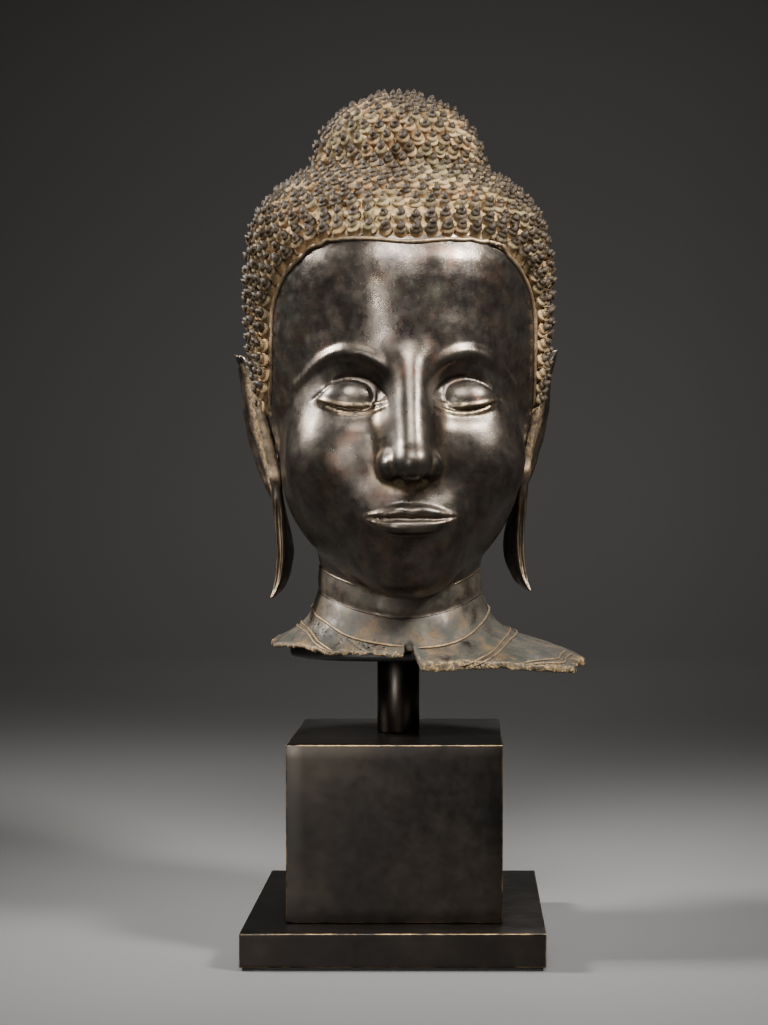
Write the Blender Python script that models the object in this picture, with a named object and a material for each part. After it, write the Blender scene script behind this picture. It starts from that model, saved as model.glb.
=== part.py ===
"""A cast bronze head with a cap of knobbed curls, held up by a rod on a block and a plinth.

Metres, +Z up. The origin is on the floor, on the rod's axis, and the face looks along -Y.
The head is a free form. It is written in head units, which are shares of its own height,
and which come out as millimetres at the real size.
"""

import math

import bmesh
import bpy
import numpy as np
from mathutils import Matrix, Vector

MM = 0.001
INCH = 0.0254
FIT_GAP = 0.3 * MM

# Stand
pad_thickness = 2.0 * MM
pad_inset = 1.5 * MM
plinth_width = 6.75 * INCH
plinth_depth = 6.75 * INCH
plinth_height = 0.75 * INCH
block_width = 4.875 * INCH
block_depth = 4.875 * INCH
block_height = 4.0 * INCH
edge_chamfer = 0.5 * MM
rod_diameter = 1.0 * INCH
rod_length = 44.5 * MM

# Head
head_height = 346.0 * MM
head_turn = math.radians(5.5)
head_lean = math.radians(-0.25)
head_offset = 2.0 * MM
sheet_thickness = 5.0 * MM
insert_clearance = 0.5 * MM
insert_plate_thickness = 8.0 * MM
insert_edge_round = 3.0 * MM

# The head's own measure: 346 units from the lowest broken edge to the top of the knob.
HEAD_UNITS = 346.0
unit = head_height / HEAD_UNITS

# Levels in head units above the underside of the insert. The face is three equal thirds, and
# the hair starts a little above the top one.
FACE_THIRD = 65.0
CHIN = 41.0
NOSE_BASE = CHIN + FACE_THIRD
BROW = NOSE_BASE + FACE_THIRD
HAIR_LIFT = 7.0
HAIRLINE = BROW + FACE_THIRD + HAIR_LIFT
EYE_WIDTH = 32.0
EYE = BROW - 20.0
MOUTH = NOSE_BASE - FACE_THIRD / 3
PLUG_TOP = 46.0
CREASE_LEVEL = 16.0
AXIS_Y = 5.0
NECK_Y = 12.0
NECK_HALF_WIDTH = 49.0
NECK_HALF_DEPTH = 50.0
NECK_WALL = 6.5
PLATE_HALF_WIDTH = 67.0
PLATE_HALF_DEPTH = 42.0
CURL_PITCH = 13.0
CURL_SPACING = 14.2
CURL_HEIGHT = 5.5
HAIR_EDGE = 1.0
WINDOW_HALF = 81.0
WINDOW_LOW = 147.0
WINDOW_CORNER = 44.0
WINDOW_BACK = -4.0
EAR_LIFT = 1.5


def linear(hex_colour):
    """An sRGB hex colour as linear RGBA."""
    parts = [int(hex_colour[i : i + 2], 16) / 255 for i in (0, 2, 4)]
    return [c / 12.92 if c < 0.04045 else ((c + 0.055) / 1.055) ** 2.4 for c in parts] + [1.0]


def metal(name, hex_colour, roughness, metallic):
    material = bpy.data.materials.new(name)
    material.use_nodes = True
    shader = material.node_tree.nodes["Principled BSDF"]
    shader.inputs["Base Color"].default_value = linear(hex_colour)
    shader.inputs["Roughness"].default_value = roughness
    shader.inputs["Metallic"].default_value = metallic
    return material


def place(name, bm, material=None):
    """Turns a bmesh into an object of the scene."""
    bmesh.ops.recalc_face_normals(bm, faces=bm.faces)
    mesh = bpy.data.meshes.new(name)
    bm.to_mesh(mesh)
    bm.free()
    obj = bpy.data.objects.new(name, mesh)
    bpy.context.scene.collection.objects.link(obj)
    if material:
        mesh.materials.append(material)
    return obj


def helper(obj):
    """A shape that another one is joined with or cut by."""
    obj.hide_render = True
    obj.display_type = "WIRE"
    return obj


def boolean(obj, other, operation):
    modifier = obj.modifiers.new(f"{operation.lower()}_{other.name}", "BOOLEAN")
    modifier.operation = operation
    modifier.object = other


def ring_of(bm, points):
    """A closed loop of vertices and edges."""
    verts = [bm.verts.new(p) for p in points]
    edges = [bm.edges.new((a, b)) for a, b in zip(verts, verts[1:] + verts[:1])]
    return verts, edges


def band(bm, lower, upper):
    """Quads between two rings of as many points."""
    a, b = lower[0], upper[0]
    after = range(1, len(a) + 1)
    return [
        bm.faces.new((a[i - 1], a[i % len(a)], b[i % len(a)], b[i - 1])) for i in after
    ]


def curve_through(points, at):
    """Values of a smooth curve through (position, value) points, level at both ends."""
    x, y = (np.array(c, float) for c in zip(*points))
    slope = np.zeros(len(x))
    steps = np.diff(y) / np.diff(x)
    same_way = steps[:-1] * steps[1:] > 0
    slope[1:-1] = np.where(
        same_way, 2 * steps[:-1] * steps[1:] / np.where(same_way, steps[:-1] + steps[1:], 1), 0
    )
    at = np.clip(at, x[0], x[-1])
    i = np.clip(np.searchsorted(x, at) - 1, 0, len(x) - 2)
    width = x[i + 1] - x[i]
    t = (at - x[i]) / width
    return (
        y[i] * (2 * t**3 - 3 * t**2 + 1)
        + y[i + 1] * (3 * t**2 - 2 * t**3)
        + width * slope[i] * (t**3 - 2 * t**2 + t)
        + width * slope[i + 1] * (t**3 - t**2)
    )


# The face and skull as a field: below zero inside, in head units.


def merge(a, b, k):
    """The union of two fields, with a fillet about k wide."""
    h = np.maximum(k - np.abs(a - b), 0) / k
    return np.minimum(a, b) - h * h * k / 4


def carve(a, b, k):
    """Field a with field b cut away, with a rounded edge."""
    return -merge(-a, b, k)


def ellipsoid(x, y, z, centre, radii):
    x, y, z = x - centre[0], y - centre[1], z - centre[2]
    a, b, c = radii
    near = np.sqrt((x / a) ** 2 + (y / b) ** 2 + (z / c) ** 2)
    steep = np.sqrt((x / a**2) ** 2 + (y / b**2) ** 2 + (z / c**2) ** 2)
    return near * (near - 1) / np.maximum(steep, 1e-9)


def taper(x, y, z, start, end, r_start, r_end):
    """A round bar from start to end with a radius at each end."""
    start, end = np.array(start, float), np.array(end, float)
    way = end - start
    t = ((x - start[0]) * way[0] + (y - start[1]) * way[1] + (z - start[2]) * way[2]) / (way @ way)
    t = np.clip(t, 0, 1)
    off = [c - s - t * w for c, s, w in zip((x, y, z), start, way)]
    return np.sqrt(off[0] ** 2 + off[1] ** 2 + off[2] ** 2) - r_start - (r_end - r_start) * t


def strand(x, y, z, points, radii):
    """A bar that follows several points."""
    pieces = [taper(x, y, z, *ends) for ends in zip(points, points[1:], radii, radii[1:])]
    out = pieces[0]
    for piece in pieces[1:]:
        out = merge(out, piece, 1.0)
    return out


def head_masses(x, y, z):
    """Skull, face, jaw, chin, cheeks and mouth mound. x is the distance from the middle plane."""
    f = ellipsoid(x, y, z, (0, 10, 206), (80, 99, 90))
    f = merge(f, ellipsoid(x, y, z, (0, -4, 136), (72, 83, 94)), 30)
    f = merge(f, taper(x, y, z, (38, 2, 102), (10, -55, 64), 21, 18.5), 30)
    f = merge(f, ellipsoid(x, y, z, (0, -64, CHIN + 17), (19, 20.5, 17)), 18)
    f = merge(f, ellipsoid(x, y, z, (37, -56, 118), (27, 26, 26)), 30)
    return merge(f, ellipsoid(x, y, z, (0, -64, MOUTH + 1), (31, 27, 20)), 22)


def nose_and_sockets(x, y, z):
    """The masses with the eye sockets hollowed and the nose built on."""
    f = head_masses(x, y, z)
    f = carve(f, ellipsoid(x, y, z, (EYE_WIDTH - 2, -98, EYE + 5), (27, 22.5, 15)), 12)
    f = merge(f, taper(x, y, z, (0, -80, BROW - 2), (0, -95, NOSE_BASE + 13), 8.5, 12.5), 16)
    f = merge(f, taper(x, y, z, (0, -87.5, BROW - 5), (0, -105, NOSE_BASE + 11), 5.2, 6.6), 8)
    f = merge(f, ellipsoid(x, y, z, (0, -104.5, NOSE_BASE + 9), (9.2, 9.5, 8.6)), 6)
    return merge(f, ellipsoid(x, y, z, (12, -94.5, NOSE_BASE + 7.5), (6, 10.5, 7.4)), 4)


def on_skin(points, sink):
    """The (x, z) points laid on the front of the face, sunk into it by a depth."""
    x, z = (np.array(c, float)[:, None] for c in zip(*points))
    y = np.arange(-130, -20, 0.5)[None, :]
    first = y[0][np.argmax(nose_and_sockets(x, y, z) < 0, axis=1)]
    return list(zip(x[:, 0], first + sink, z[:, 0]))


# The brow's arch, as distance from the middle plane and height over the brow's level.
BROW_ARCH = [(4, -6), (13, -0.5), (24, 4.5), (37, 6.5), (50, 1.5), (61, -8)]


def face_features():
    """The strands that lie on the skin, brow and lips, as points, radii and fillet."""
    brow = [(x, BROW + rise) for x, rise in BROW_ARCH]
    upper_lip = [(0, MOUTH + 3.4), (5, MOUTH + 4.2), (13, MOUTH + 3), (25, MOUTH + 0.6)]
    lower_lip = [(0, MOUTH - 4.6), (12, MOUTH - 3.8), (24, MOUTH)]
    return [
        (on_skin(brow, 1.4), (2.6, 3.1, 3.2, 3, 2.6, 1.4), 3),
        (on_skin(upper_lip, 0.6), (3.2, 3.4, 3, 1), 2),
        (on_skin(lower_lip, 0.8), (4.1, 3.7, 1), 2),
    ]


FEATURES = face_features()


def head_field(x, y, z):
    """The head and the straight part of the neck."""
    x = np.abs(x)
    f = nose_and_sockets(x, y, z)
    f = merge(f, ellipsoid(x, y, z, (EYE_WIDTH - 0.5, -62.5, EYE - 0.5), (19.5, 17.6, 13)), 2)
    for points, radii, fillet in FEATURES:
        f = merge(f, strand(x, y, z, points, radii), fillet)
    round_neck = np.sqrt((x / NECK_HALF_WIDTH) ** 2 + ((y - NECK_Y) / NECK_HALF_DEPTH) ** 2)
    return merge(f, (round_neck - 1) * NECK_HALF_WIDTH, 14)


def reach(angles, levels):
    """How far the head reaches from its axis at each angle and level: the outermost skin."""
    far, near, count = 140.0, 4.0, 60
    r = np.full(np.broadcast(angles, levels).shape, far)

    def value(radius):
        return head_field(radius * np.sin(angles), AXIS_Y - radius * np.cos(angles), levels)

    found = np.zeros(r.shape, bool)
    step = (far - near) / count
    for _ in range(count):
        found |= value(r) < 0
        r = np.where(found, r, r - step)
    inside, outside = r, r + step
    for _ in range(12):
        middle = (inside + outside) / 2
        is_in = value(middle) < 0
        inside, outside = np.where(is_in, middle, inside), np.where(is_in, outside, middle)
    return inside


# The shoulder remnant is one falling surface, and the broken outline cuts it.

# Degrees from the front, positive to the right, and how far out from the neck it breaks.
BREAK = [(-180, 30), (-140, 27), (-112, 25), (-97, 29), (-84, 29.5), (-74, 23.5), (-66, 20.5)]
BREAK += [(-56, 19), (-43, 19), (-39, 15.5), (-30, 13.5), (-17, 12.5), (-2, 12), (-0.5, 5.5)]
BREAK += [(4.5, 5.5), (7.5, 18), (15, 21), (30, 23), (45, 34), (58, 52), (66, 64)]
BREAK += [(74, 59), (82, 65), (96, 49), (112, 34), (140, 29), (180, 30)]


def front_share(angles):
    """1 at the front, falling to 0 at the sides and back."""
    return ((1 + np.cos(angles)) / 2) ** 3


def shoulder(out, angles):
    """Height of the shoulder surface at a distance out from the neck."""
    top = 40 - 15 * front_share(angles)
    return top - 21 * (1 - np.exp(-np.maximum(out, 0) / 8)) - 0.27 * out


def at_angle(radius, angles, level):
    """Points round the head's axis, in head units."""
    return np.stack(
        [
            radius * np.sin(angles),
            AXIS_Y - radius * np.cos(angles),
            np.broadcast_to(level, np.shape(radius)),
        ],
        axis=-1,
    )


def head_angles():
    """Directions of the core's points: close together over the face, wide apart behind."""
    half = list(range(0, 45, 3)) + [48, 52, 57, 63, 70, 78, 87, 98, 111, 126, 143, 161]
    return np.radians([-a for a in reversed(half[1:])] + half + [180])


def neck_oval(angles, shrink):
    """Distance from the head's axis to the neck's oval, taken in by shrink."""
    a, b = NECK_HALF_WIDTH - shrink, NECK_HALF_DEPTH - shrink
    off = AXIS_Y - NECK_Y
    qa = (np.sin(angles) / a) ** 2 + (np.cos(angles) / b) ** 2
    qb = -2 * off * np.cos(angles) / b**2
    qc = (off / b) ** 2 - 1
    return (-qb + np.sqrt(qb**2 - 4 * qa * qc)) / (2 * qa)


def face_ring(angles, level):
    """One ring of the face. Near the brow it rises and falls with the brow's arch."""
    across, rise = zip(*BROW_ARCH)
    arch = np.interp(np.degrees(np.abs(angles)), [*across, 75], [*rise, 0])
    levels = level + arch * math.exp(-(((level - BROW) / 18) ** 2))
    return at_angle(reach(angles, levels), angles, levels)


def core_rings():
    """Rings from inside the hair down the face and neck, out to the break and under it."""
    angles = head_angles()
    levels = [262, 250, 240] + list(np.arange(234, BROW + 12, -6.5))
    levels += [BROW + d for d in (6, 3, 0, -3, -6)] + [EYE + d for d in (11, 7, 3, -1, -5, -9, -14)]
    levels += [NOSE_BASE + d for d in (25, 19, 14, 9, 5, 1, -3)]
    levels += [MOUTH + d for d in (10, 6, 3, 0, -4, -7, -11)]
    levels += [CHIN + d for d in (26, 20, 14, 8, 3, 0)]
    rings = [face_ring(angles, level) for level in levels]
    # Two soft rings of flesh round the neck, with a crease under each.
    neck = neck_oval(angles, 0)
    dip = front_share(angles)
    for fullness, side_level, front_drop in ((1.6, 61, 26), (-0.6, 56, 25), (1.8, 48.5, 20)):
        rings.append(at_angle(neck + fullness, angles, side_level - front_drop * dip))
    thick = sheet_thickness / unit
    edge = np.interp(np.degrees(angles), *zip(*BREAK))
    for share, most, fullness in ((0.06, 0.5, -0.6), (0.4, 5, 0.8), (0.75, 10, -0.5), (0.9, 16, 0)):
        out = np.minimum(most, share * edge)
        rings.append(at_angle(neck + out, angles, shoulder(out, angles) + fullness))
    for share in (0.6, 0.8):
        out = np.maximum(share * edge, np.minimum(16, 0.9 * edge) + 0.2 * (share - 0.5) * edge)
        rings.append(at_angle(neck + out, angles, shoulder(out, angles)))
    rings.append(at_angle(neck + edge, angles, shoulder(edge, angles)))
    rings.append(at_angle(neck + edge - 1, angles, shoulder(edge, angles) - thick))
    mid = 0.55 * edge
    rings.append(at_angle(neck + mid, angles, shoulder(mid, angles) - 1.25 * thick))
    rings.append(at_angle(neck_oval(angles, NECK_WALL), angles, CREASE_LEVEL - 8 * dip))
    return rings


def head_core():
    bm = bmesh.new()
    rings = [ring_of(bm, points * unit) for points in core_rings()]
    for upper, lower in zip(rings, rings[1:]):
        band(bm, lower, upper)
    bm.faces.new(rings[0][0])
    bm.faces.new(rings[-1][0])
    return place("head_casting", bm)


# Hair: half width, reach to the front and reach to the back of the scalp at each level.
HAIR_SIDE = [(64, 48), (70, 57), (82, 65), (112, 74), (152, 84), (192, 88.5), (228, 89.5)]
HAIR_SIDE += [(246, 88), (258, 85), (267, 81), (276, 73), (283, 63.5), (289, 53), (295, 48)]
HAIR_SIDE += [(307, 45.5), (319, 39.5), (331, 25), (336, 14)]
HAIR_FRONT = [(64, 60), (112, 90), (192, 100), (228, 99.5), (246, 93), (258, 85), (267, 77)]
HAIR_FRONT += [(276, 67), (283, 58), (289, 51), (295, 47), (307, 44), (319, 38), (331, 25), (336, 14)]
HAIR_BACK = [(64, 56), (70, 68), (82, 80), (112, 93), (152, 102), (192, 108), (228, 108)]
HAIR_BACK += [(246, 103), (258, 97), (267, 90), (276, 81), (283, 71), (289, 59), (295, 51)]
HAIR_BACK += [(307, 46), (319, 40), (331, 25), (336, 14)]
HAIR_Y = 10.0
SCALP_SQUARENESS = 2.2
# The lowest and highest row of each zone of the hair. All rows of a zone have as many knobs.
HAIR_ZONES = [(64, 252), (254, 286), (288, 327), (328, 336)]


def hair_ring(level, count):
    """Points of the scalp at one level, under the curls."""
    angles = np.arange(count) * 2 * math.pi / count
    side = curve_through(HAIR_SIDE, level)
    front, back = curve_through(HAIR_FRONT, level), curve_through(HAIR_BACK, level)
    s, c = np.sin(angles), np.cos(angles)
    power = 2 / SCALP_SQUARENESS
    x = side * np.sign(s) * np.abs(s) ** power
    y = HAIR_Y - np.where(c > 0, front, back) * np.sign(c) * np.abs(c) ** power
    return np.stack([x, y, np.full(count, float(level))], axis=-1) * unit


def knobs_in_row(low, high):
    """How many knobs a spacing apart go round the middle of a zone."""
    ring = hair_ring((low + high) / 2, 90) / unit
    return round(np.linalg.norm(ring - np.roll(ring, 1, axis=0), axis=1).sum() / CURL_SPACING)


def hair_levels(low, high):
    """Levels from low to high, a curl's pitch apart as measured over the scalp's slope."""
    fine = np.linspace(low, high, 200)
    steps = np.hypot(np.diff(fine), np.diff(curve_through(HAIR_SIDE, fine)))
    path = np.concatenate([[0], np.cumsum(steps)])
    rows = max(1, round(path[-1] / CURL_PITCH))
    return np.interp(np.linspace(0, path[-1], rows + 1), path, fine)


def clear_of_window(x, y, z):
    """How far a point of the scalp stands outside the face's window, in head units."""
    across = abs(x) - (WINDOW_HALF - WINDOW_CORNER)
    up = z - (HAIRLINE - WINDOW_CORNER)
    arch = math.hypot(max(across, 0), max(up, 0)) + min(max(across, up), 0) - WINDOW_CORNER
    return max(y - WINDOW_BACK, min(arch, z - WINDOW_LOW))


def under_ear(x, y, z):
    """Whether a point of the scalp lies behind an ear's hollow."""
    front, back = min(row[3] for row in EAR_HOLLOW), max(row[4] for row in EAR_HOLLOW)
    low, high = EAR_HOLLOW[-1][0] - 4, EAR_HOLLOW[0][0] + 2
    return abs(x) > NECK_HALF_WIDTH and front - 6 < y < back and low < z < high


def hair_cap():
    """The mass of hair. Each cell of the scalp is raised to a point, one for each knob."""
    bm = bmesh.new()
    cells = []
    below = None
    for low, high in HAIR_ZONES:
        count = knobs_in_row(low, high)
        rings = [ring_of(bm, hair_ring(z, count)) for z in hair_levels(low, high)]
        if below:
            bmesh.ops.bridge_loops(bm, edges=below[1] + rings[0][1])
        else:
            bm.faces.new(rings[0][0])
        for a, b in zip(rings, rings[1:]):
            cells += band(bm, a, b)
        below = rings[-1]
    cells.append(bm.faces.new(below[0]))
    bmesh.ops.recalc_face_normals(bm, faces=bm.faces)
    whole = [
        f
        for f in cells
        if min(clear_of_window(*(v.co / unit)) for v in f.verts) > HAIR_EDGE
        and not under_ear(*(f.calc_center_median() / unit))
    ]
    bmesh.ops.poke(bm, faces=whole, offset=CURL_HEIGHT * unit)
    return helper(place("hair_cap", bm))


def face_window():
    """What is cut from the hair in front: an arch over the forehead, open below the temples."""
    turns = [math.pi / 2 * i / 8 for i in range(9)]
    inner, top = WINDOW_HALF - WINDOW_CORNER, HAIRLINE - WINDOW_CORNER
    side = [(inner + WINDOW_CORNER * math.cos(a), top + WINDOW_CORNER * math.sin(a)) for a in turns]
    outline = [(130, 20), (130, WINDOW_LOW), (WINDOW_HALF, WINDOW_LOW)] + side + [(0, HAIRLINE - 1.5)]
    outline += [(-x, z) for x, z in reversed(outline[:-1])]
    bm = bmesh.new()
    near, _ = ring_of(bm, [Vector((x, -150, z)) * unit for x, z in outline])
    face = bm.faces.new(near)
    far = bmesh.ops.extrude_face_region(bm, geom=[face])["geom"]
    deep = Vector((0, 150 + WINDOW_BACK, 0)) * unit
    bmesh.ops.translate(bm, vec=deep, verts=[v for v in far if isinstance(v, bmesh.types.BMVert)])
    return helper(place("face_window", bm))


# Ears: level, then how far out and how far back the front and back edges are, and the thickness.
EAR = [
    (184, 98, 99, 14, 18, 3),
    (178, 95, 99.5, 8, 30, 6),
    (168, 91.5, 98.5, 4, 40, 8),
    (150, 88, 96, 1, 46, 9),
    (131, 84, 90.5, 0, 44, 9),
    (114, 80.5, 84.5, 0, 37, 9),
    (100, 78.5, 80, 0, 30, 8),
    (84, 77.5, 74.5, 1, 26, 7.5),
    (66, 76.5, 70.5, 1, 24, 7),
    (52, 76.9, 71.5, -1, 19, 6),
    (43, 78, 74, -3, 11, 4),
    (37, 79.5, 78.5, -5, 0, 1.8),
]
# The ear above its lobe, where it stands off the head round its hollow.
EAR_HOLLOW = EAR[:7]
# Shares of the ear's depth and thickness round one section, with a hollow in the outer side.
EAR_SECTION = [(0, 0.5), (0.04, 0.9), (0.14, 1), (0.26, 0.55), (0.5, 0.4), (0.72, 0.6), (0.86, 1)]
EAR_SECTION += [(0.96, 0.9), (1, 0.5), (0.9, 0.1), (0.5, 0), (0.1, 0.1)]


def ear(name, side):
    """One long ear, hollowed on its outer side and drawn to a point at both ends.

    The one on the right sits a little higher than the one on the left.
    """
    bm = bmesh.new()
    rings = []
    for level, out_front, out_back, front, back, thick in EAR:
        points = []
        for deep, full in EAR_SECTION:
            out = out_front + (out_back - out_front) * deep - thick * (1 - full)
            across = front + (back - front) * deep
            points.append(Vector((side * out, across, level + side * EAR_LIFT)) * unit)
        rings.append(ring_of(bm, points))
    for upper, lower in zip(rings, rings[1:]):
        band(bm, lower, upper)
    bm.faces.new(rings[0][0])
    bm.faces.new(rings[-1][0])
    return helper(place(name, bm))


def bronze_head(material, socket):
    """The casting: core, hair and ears made one, with the socket for the insert cut from below."""
    head = head_core()
    head.data.materials.append(material)
    hair = hair_cap()
    boolean(hair, face_window(), "DIFFERENCE")
    for other in (hair, ear("ear_left", -1), ear("ear_right", 1)):
        boolean(head, other, "UNION")
    boolean(head, socket, "DIFFERENCE")
    return head


def insert_shape(name, grow, material=None):
    """A plug for the broken neck on an oval plate, with every face moved out by grow."""
    angles = np.arange(32) * 2 * math.pi / 32
    rim = grow / unit
    half_width, half_depth = PLATE_HALF_WIDTH + rim, PLATE_HALF_DEPTH + rim
    plate = 1 / np.sqrt((np.sin(angles) / half_width) ** 2 + (np.cos(angles) / half_depth) ** 2)
    plug = np.minimum(neck_oval(angles, NECK_WALL - rim), plate - 1)
    round_off = insert_edge_round / unit
    plate_top = insert_plate_thickness / unit + rim
    rings = []
    for turn in (0, math.pi / 6, math.pi / 3, math.pi / 2):
        level = round_off * (1 - math.cos(turn)) - rim
        rings.append(at_angle(plate - round_off * (1 - math.sin(turn)), angles, level))
    rings.append(at_angle(plate, angles, plate_top))
    rings.append(at_angle(plug, angles, plate_top))
    rings.append(at_angle(plug, angles, PLUG_TOP + rim))
    bm = bmesh.new()
    loops = [ring_of(bm, points * unit) for points in rings]
    for lower, upper in zip(loops, loops[1:]):
        band(bm, lower, upper)
    bm.faces.new(loops[0][0])
    bm.faces.new(loops[-1][0])
    obj = place(name, bm, material)
    obj.rotation_euler.z = head_turn
    return obj


def slab(name, width, depth, height, base, chamfer, material):
    """A straight block that stands centred on the axis at a height."""
    bm = bmesh.new()
    bmesh.ops.create_cube(bm, size=1.0)
    bmesh.ops.scale(bm, vec=(width, depth, height), verts=bm.verts)
    obj = place(name, bm, material)
    obj.location.z = base + height / 2
    if chamfer:
        bevel = obj.modifiers.new("edges", "BEVEL")
        bevel.width = chamfer
        bevel.segments = 1
    return obj


def rod(base, material):
    bm = bmesh.new()
    bmesh.ops.create_cone(
        bm, cap_ends=True, segments=40, radius1=rod_diameter / 2, radius2=rod_diameter / 2, depth=rod_length
    )
    obj = place("support_rod", bm, material)
    obj.location.z = base + rod_length / 2
    obj.data.shade_smooth()
    obj.data.set_sharp_from_angle(angle=math.radians(40))
    return obj


def main():
    for obj in list(bpy.data.objects):
        bpy.data.objects.remove(obj)
    bronze = metal("head_bronze", "4A4137", 0.42, 0.85)
    stand = metal("stand_bronze", "3B332B", 0.38, 0.8)
    black = metal("black_lacquer", "161412", 0.55, 0.0)
    felt = metal("black_felt", "101010", 0.95, 0.0)

    height = pad_thickness
    slab("base_pad", plinth_width - 2 * pad_inset, plinth_depth - 2 * pad_inset, pad_thickness, 0, 0, felt)
    height += FIT_GAP
    slab("plinth_slab", plinth_width, plinth_depth, plinth_height, height, edge_chamfer, stand)
    height += plinth_height + FIT_GAP
    slab("pedestal_block", block_width, block_depth, block_height, height, edge_chamfer, stand)
    height += block_height + FIT_GAP
    rod(height, stand)
    height += rod_length + FIT_GAP

    socket = helper(insert_shape("neck_socket", insert_clearance))
    for piece in (insert_shape("neck_insert", 0, black), socket):
        piece.location = (head_offset, 0, height)
    head = bronze_head(bronze, socket)
    seat = bpy.data.objects.new("head_seat", None)
    bpy.context.scene.collection.objects.link(seat)
    turn = Matrix.Rotation(head_turn, 4, "Z") @ Matrix.Rotation(head_lean, 4, "Y")
    seat.matrix_world = Matrix.Translation((head_offset, 0, height)) @ turn
    for name in ("head_casting", "hair_cap", "face_window", "ear_left", "ear_right"):
        bpy.data.objects[name].parent = seat


main()
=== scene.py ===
"""The looks of a cast bronze head on its display stand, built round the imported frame.

The pieces follow the object from the floor up: pad, slab and block, rod, insert, head, ears, curls.
"""

import itertools
import math

import bmesh
import bpy
import numpy as np
from mathutils import Matrix, Vector
from mathutils.bvhtree import BVHTree
from mathutils.kdtree import KDTree


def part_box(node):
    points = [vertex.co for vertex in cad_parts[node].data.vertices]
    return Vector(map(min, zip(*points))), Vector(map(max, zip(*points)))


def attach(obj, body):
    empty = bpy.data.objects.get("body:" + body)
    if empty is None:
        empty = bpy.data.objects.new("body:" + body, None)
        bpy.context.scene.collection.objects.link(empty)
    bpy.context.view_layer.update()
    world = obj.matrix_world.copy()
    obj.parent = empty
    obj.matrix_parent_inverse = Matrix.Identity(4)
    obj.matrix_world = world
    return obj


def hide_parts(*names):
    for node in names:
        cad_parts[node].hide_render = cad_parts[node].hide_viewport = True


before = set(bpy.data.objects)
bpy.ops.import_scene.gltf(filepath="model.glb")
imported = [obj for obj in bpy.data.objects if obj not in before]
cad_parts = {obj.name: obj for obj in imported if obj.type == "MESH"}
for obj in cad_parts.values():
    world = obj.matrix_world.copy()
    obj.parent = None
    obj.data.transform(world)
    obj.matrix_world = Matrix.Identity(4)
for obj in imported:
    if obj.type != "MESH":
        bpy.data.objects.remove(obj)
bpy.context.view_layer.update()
MM = 0.001


# Base pad
# A thin sheet of black felt, glued under the slab so that the metal marks nothing it stands on.
# It is cut a little smaller than the slab and shows only as a dark line along the floor.


def linear(hex_colour):
    """An sRGB hex colour as the linear RGBA that a shader takes."""
    parts = [int(hex_colour[i : i + 2], 16) / 255 for i in (0, 2, 4)]
    return [c / 12.92 if c < 0.04045 else ((c + 0.055) / 1.055) ** 2.4 for c in parts] + [1.0]


def feed(tree, node, feeds):
    """Links sockets to a node's inputs, and sets the inputs that are given a plain value."""
    for name, value in feeds.items():
        if isinstance(value, bpy.types.NodeSocket):
            tree.links.new(value, node.inputs[name])
        else:
            node.inputs[name].default_value = value


def add(tree, kind, result, settings, feeds):
    """Adds a node with its own settings and what feeds it, and returns its output called result."""
    node = tree.nodes.new("ShaderNode" + kind)
    for name, value in settings.items():
        if name != "stops":
            setattr(node, name, value)
            continue
        while len(node.color_ramp.elements) < len(value):
            node.color_ramp.elements.new(0.5)
        for element, (position, colour) in zip(node.color_ramp.elements, value):
            element.position = position
            element.color = linear(colour)
    feed(tree, node, feeds)
    return node.outputs[result]


def new_finish(name):
    """A new material, its node tree, its shader, and the place of each point on the object."""
    material = bpy.data.materials.new(name)
    material.use_nodes = True
    tree = material.node_tree
    return material, tree, tree.nodes["Principled BSDF"], add(tree, "TexCoord", "Object", {}, {})


def per(millimetres):
    """The texture scale, in metres, of a pattern whose features are this far apart."""
    return 1 / (millimetres * MM)


def new_object(name, mesh):
    """A smooth-shaded object in the scene, with this mesh."""
    mesh.shade_smooth()
    obj = bpy.data.objects.new(name, mesh)
    bpy.context.scene.collection.objects.link(obj)
    return obj


def show(obj, material, slot, *nodes):
    """Gives a finished piece its material and its place in the object."""
    obj.data.materials.clear()
    obj.data.materials.append(material)
    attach(obj, "root")
    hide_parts(*nodes)
    return obj


def felt_black():
    """Pressed wool felt, dyed black: no gloss, and a fibrous surface that takes all the light."""
    material, tree, shader, where = new_finish("pressed_wool_felt")
    fibre = add(tree, "TexNoise", "Fac", {}, {"Vector": where, "Scale": per(0.8), "Detail": 4.0})
    stops = [(0.3, "0B0B0C"), (0.75, "1D1C1C")]
    colour = add(tree, "ValToRGB", "Color", {"stops": stops}, {"Fac": fibre})
    raised = add(tree, "Bump", "Normal", {}, {"Height": fibre, "Strength": 0.6, "Distance": 0.2 * MM})
    feed(tree, shader, {"Base Color": colour, "Normal": raised, "Roughness": 0.97, "Sheen Weight": 0.15})
    return material


def block_between(name, low, high, round_edges, waviness, seed):
    """A block hand-dressed to its size: softly rounded edges and faces that aren't quite flat."""
    bm = bmesh.new()
    bmesh.ops.create_cube(bm, size=1.0)
    bmesh.ops.subdivide_edges(bm, edges=bm.edges, cuts=11, use_grid_fill=True)
    centre, size = (low + high) / 2, high - low
    for v in bm.verts:
        v.co = Vector(c * s + m for c, s, m in zip(v.co, size, centre))
    bm.normal_update()
    swell = np.random.default_rng(seed).uniform(0, 2 * math.pi, 3)
    for v in bm.verts:
        wave = sum(math.sin(v.co[n] / (23 * MM) + swell[n]) for n in range(3)) / 3
        v.co -= v.normal * waviness * (1 + wave) / 2
    worn = bm.faces.layers.float.new("worn")
    corners = [e for e in bm.edges if e.calc_face_angle() > 1.0]
    rounded = bmesh.ops.bevel(
        bm, geom=corners, offset=round_edges, segments=3, profile=0.5, affect="EDGES"
    )
    for face in rounded["faces"]:
        face[worn] = 1.0
    mesh = bpy.data.meshes.new(name)
    bm.to_mesh(mesh)
    bm.free()
    return new_object(name, mesh)


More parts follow.
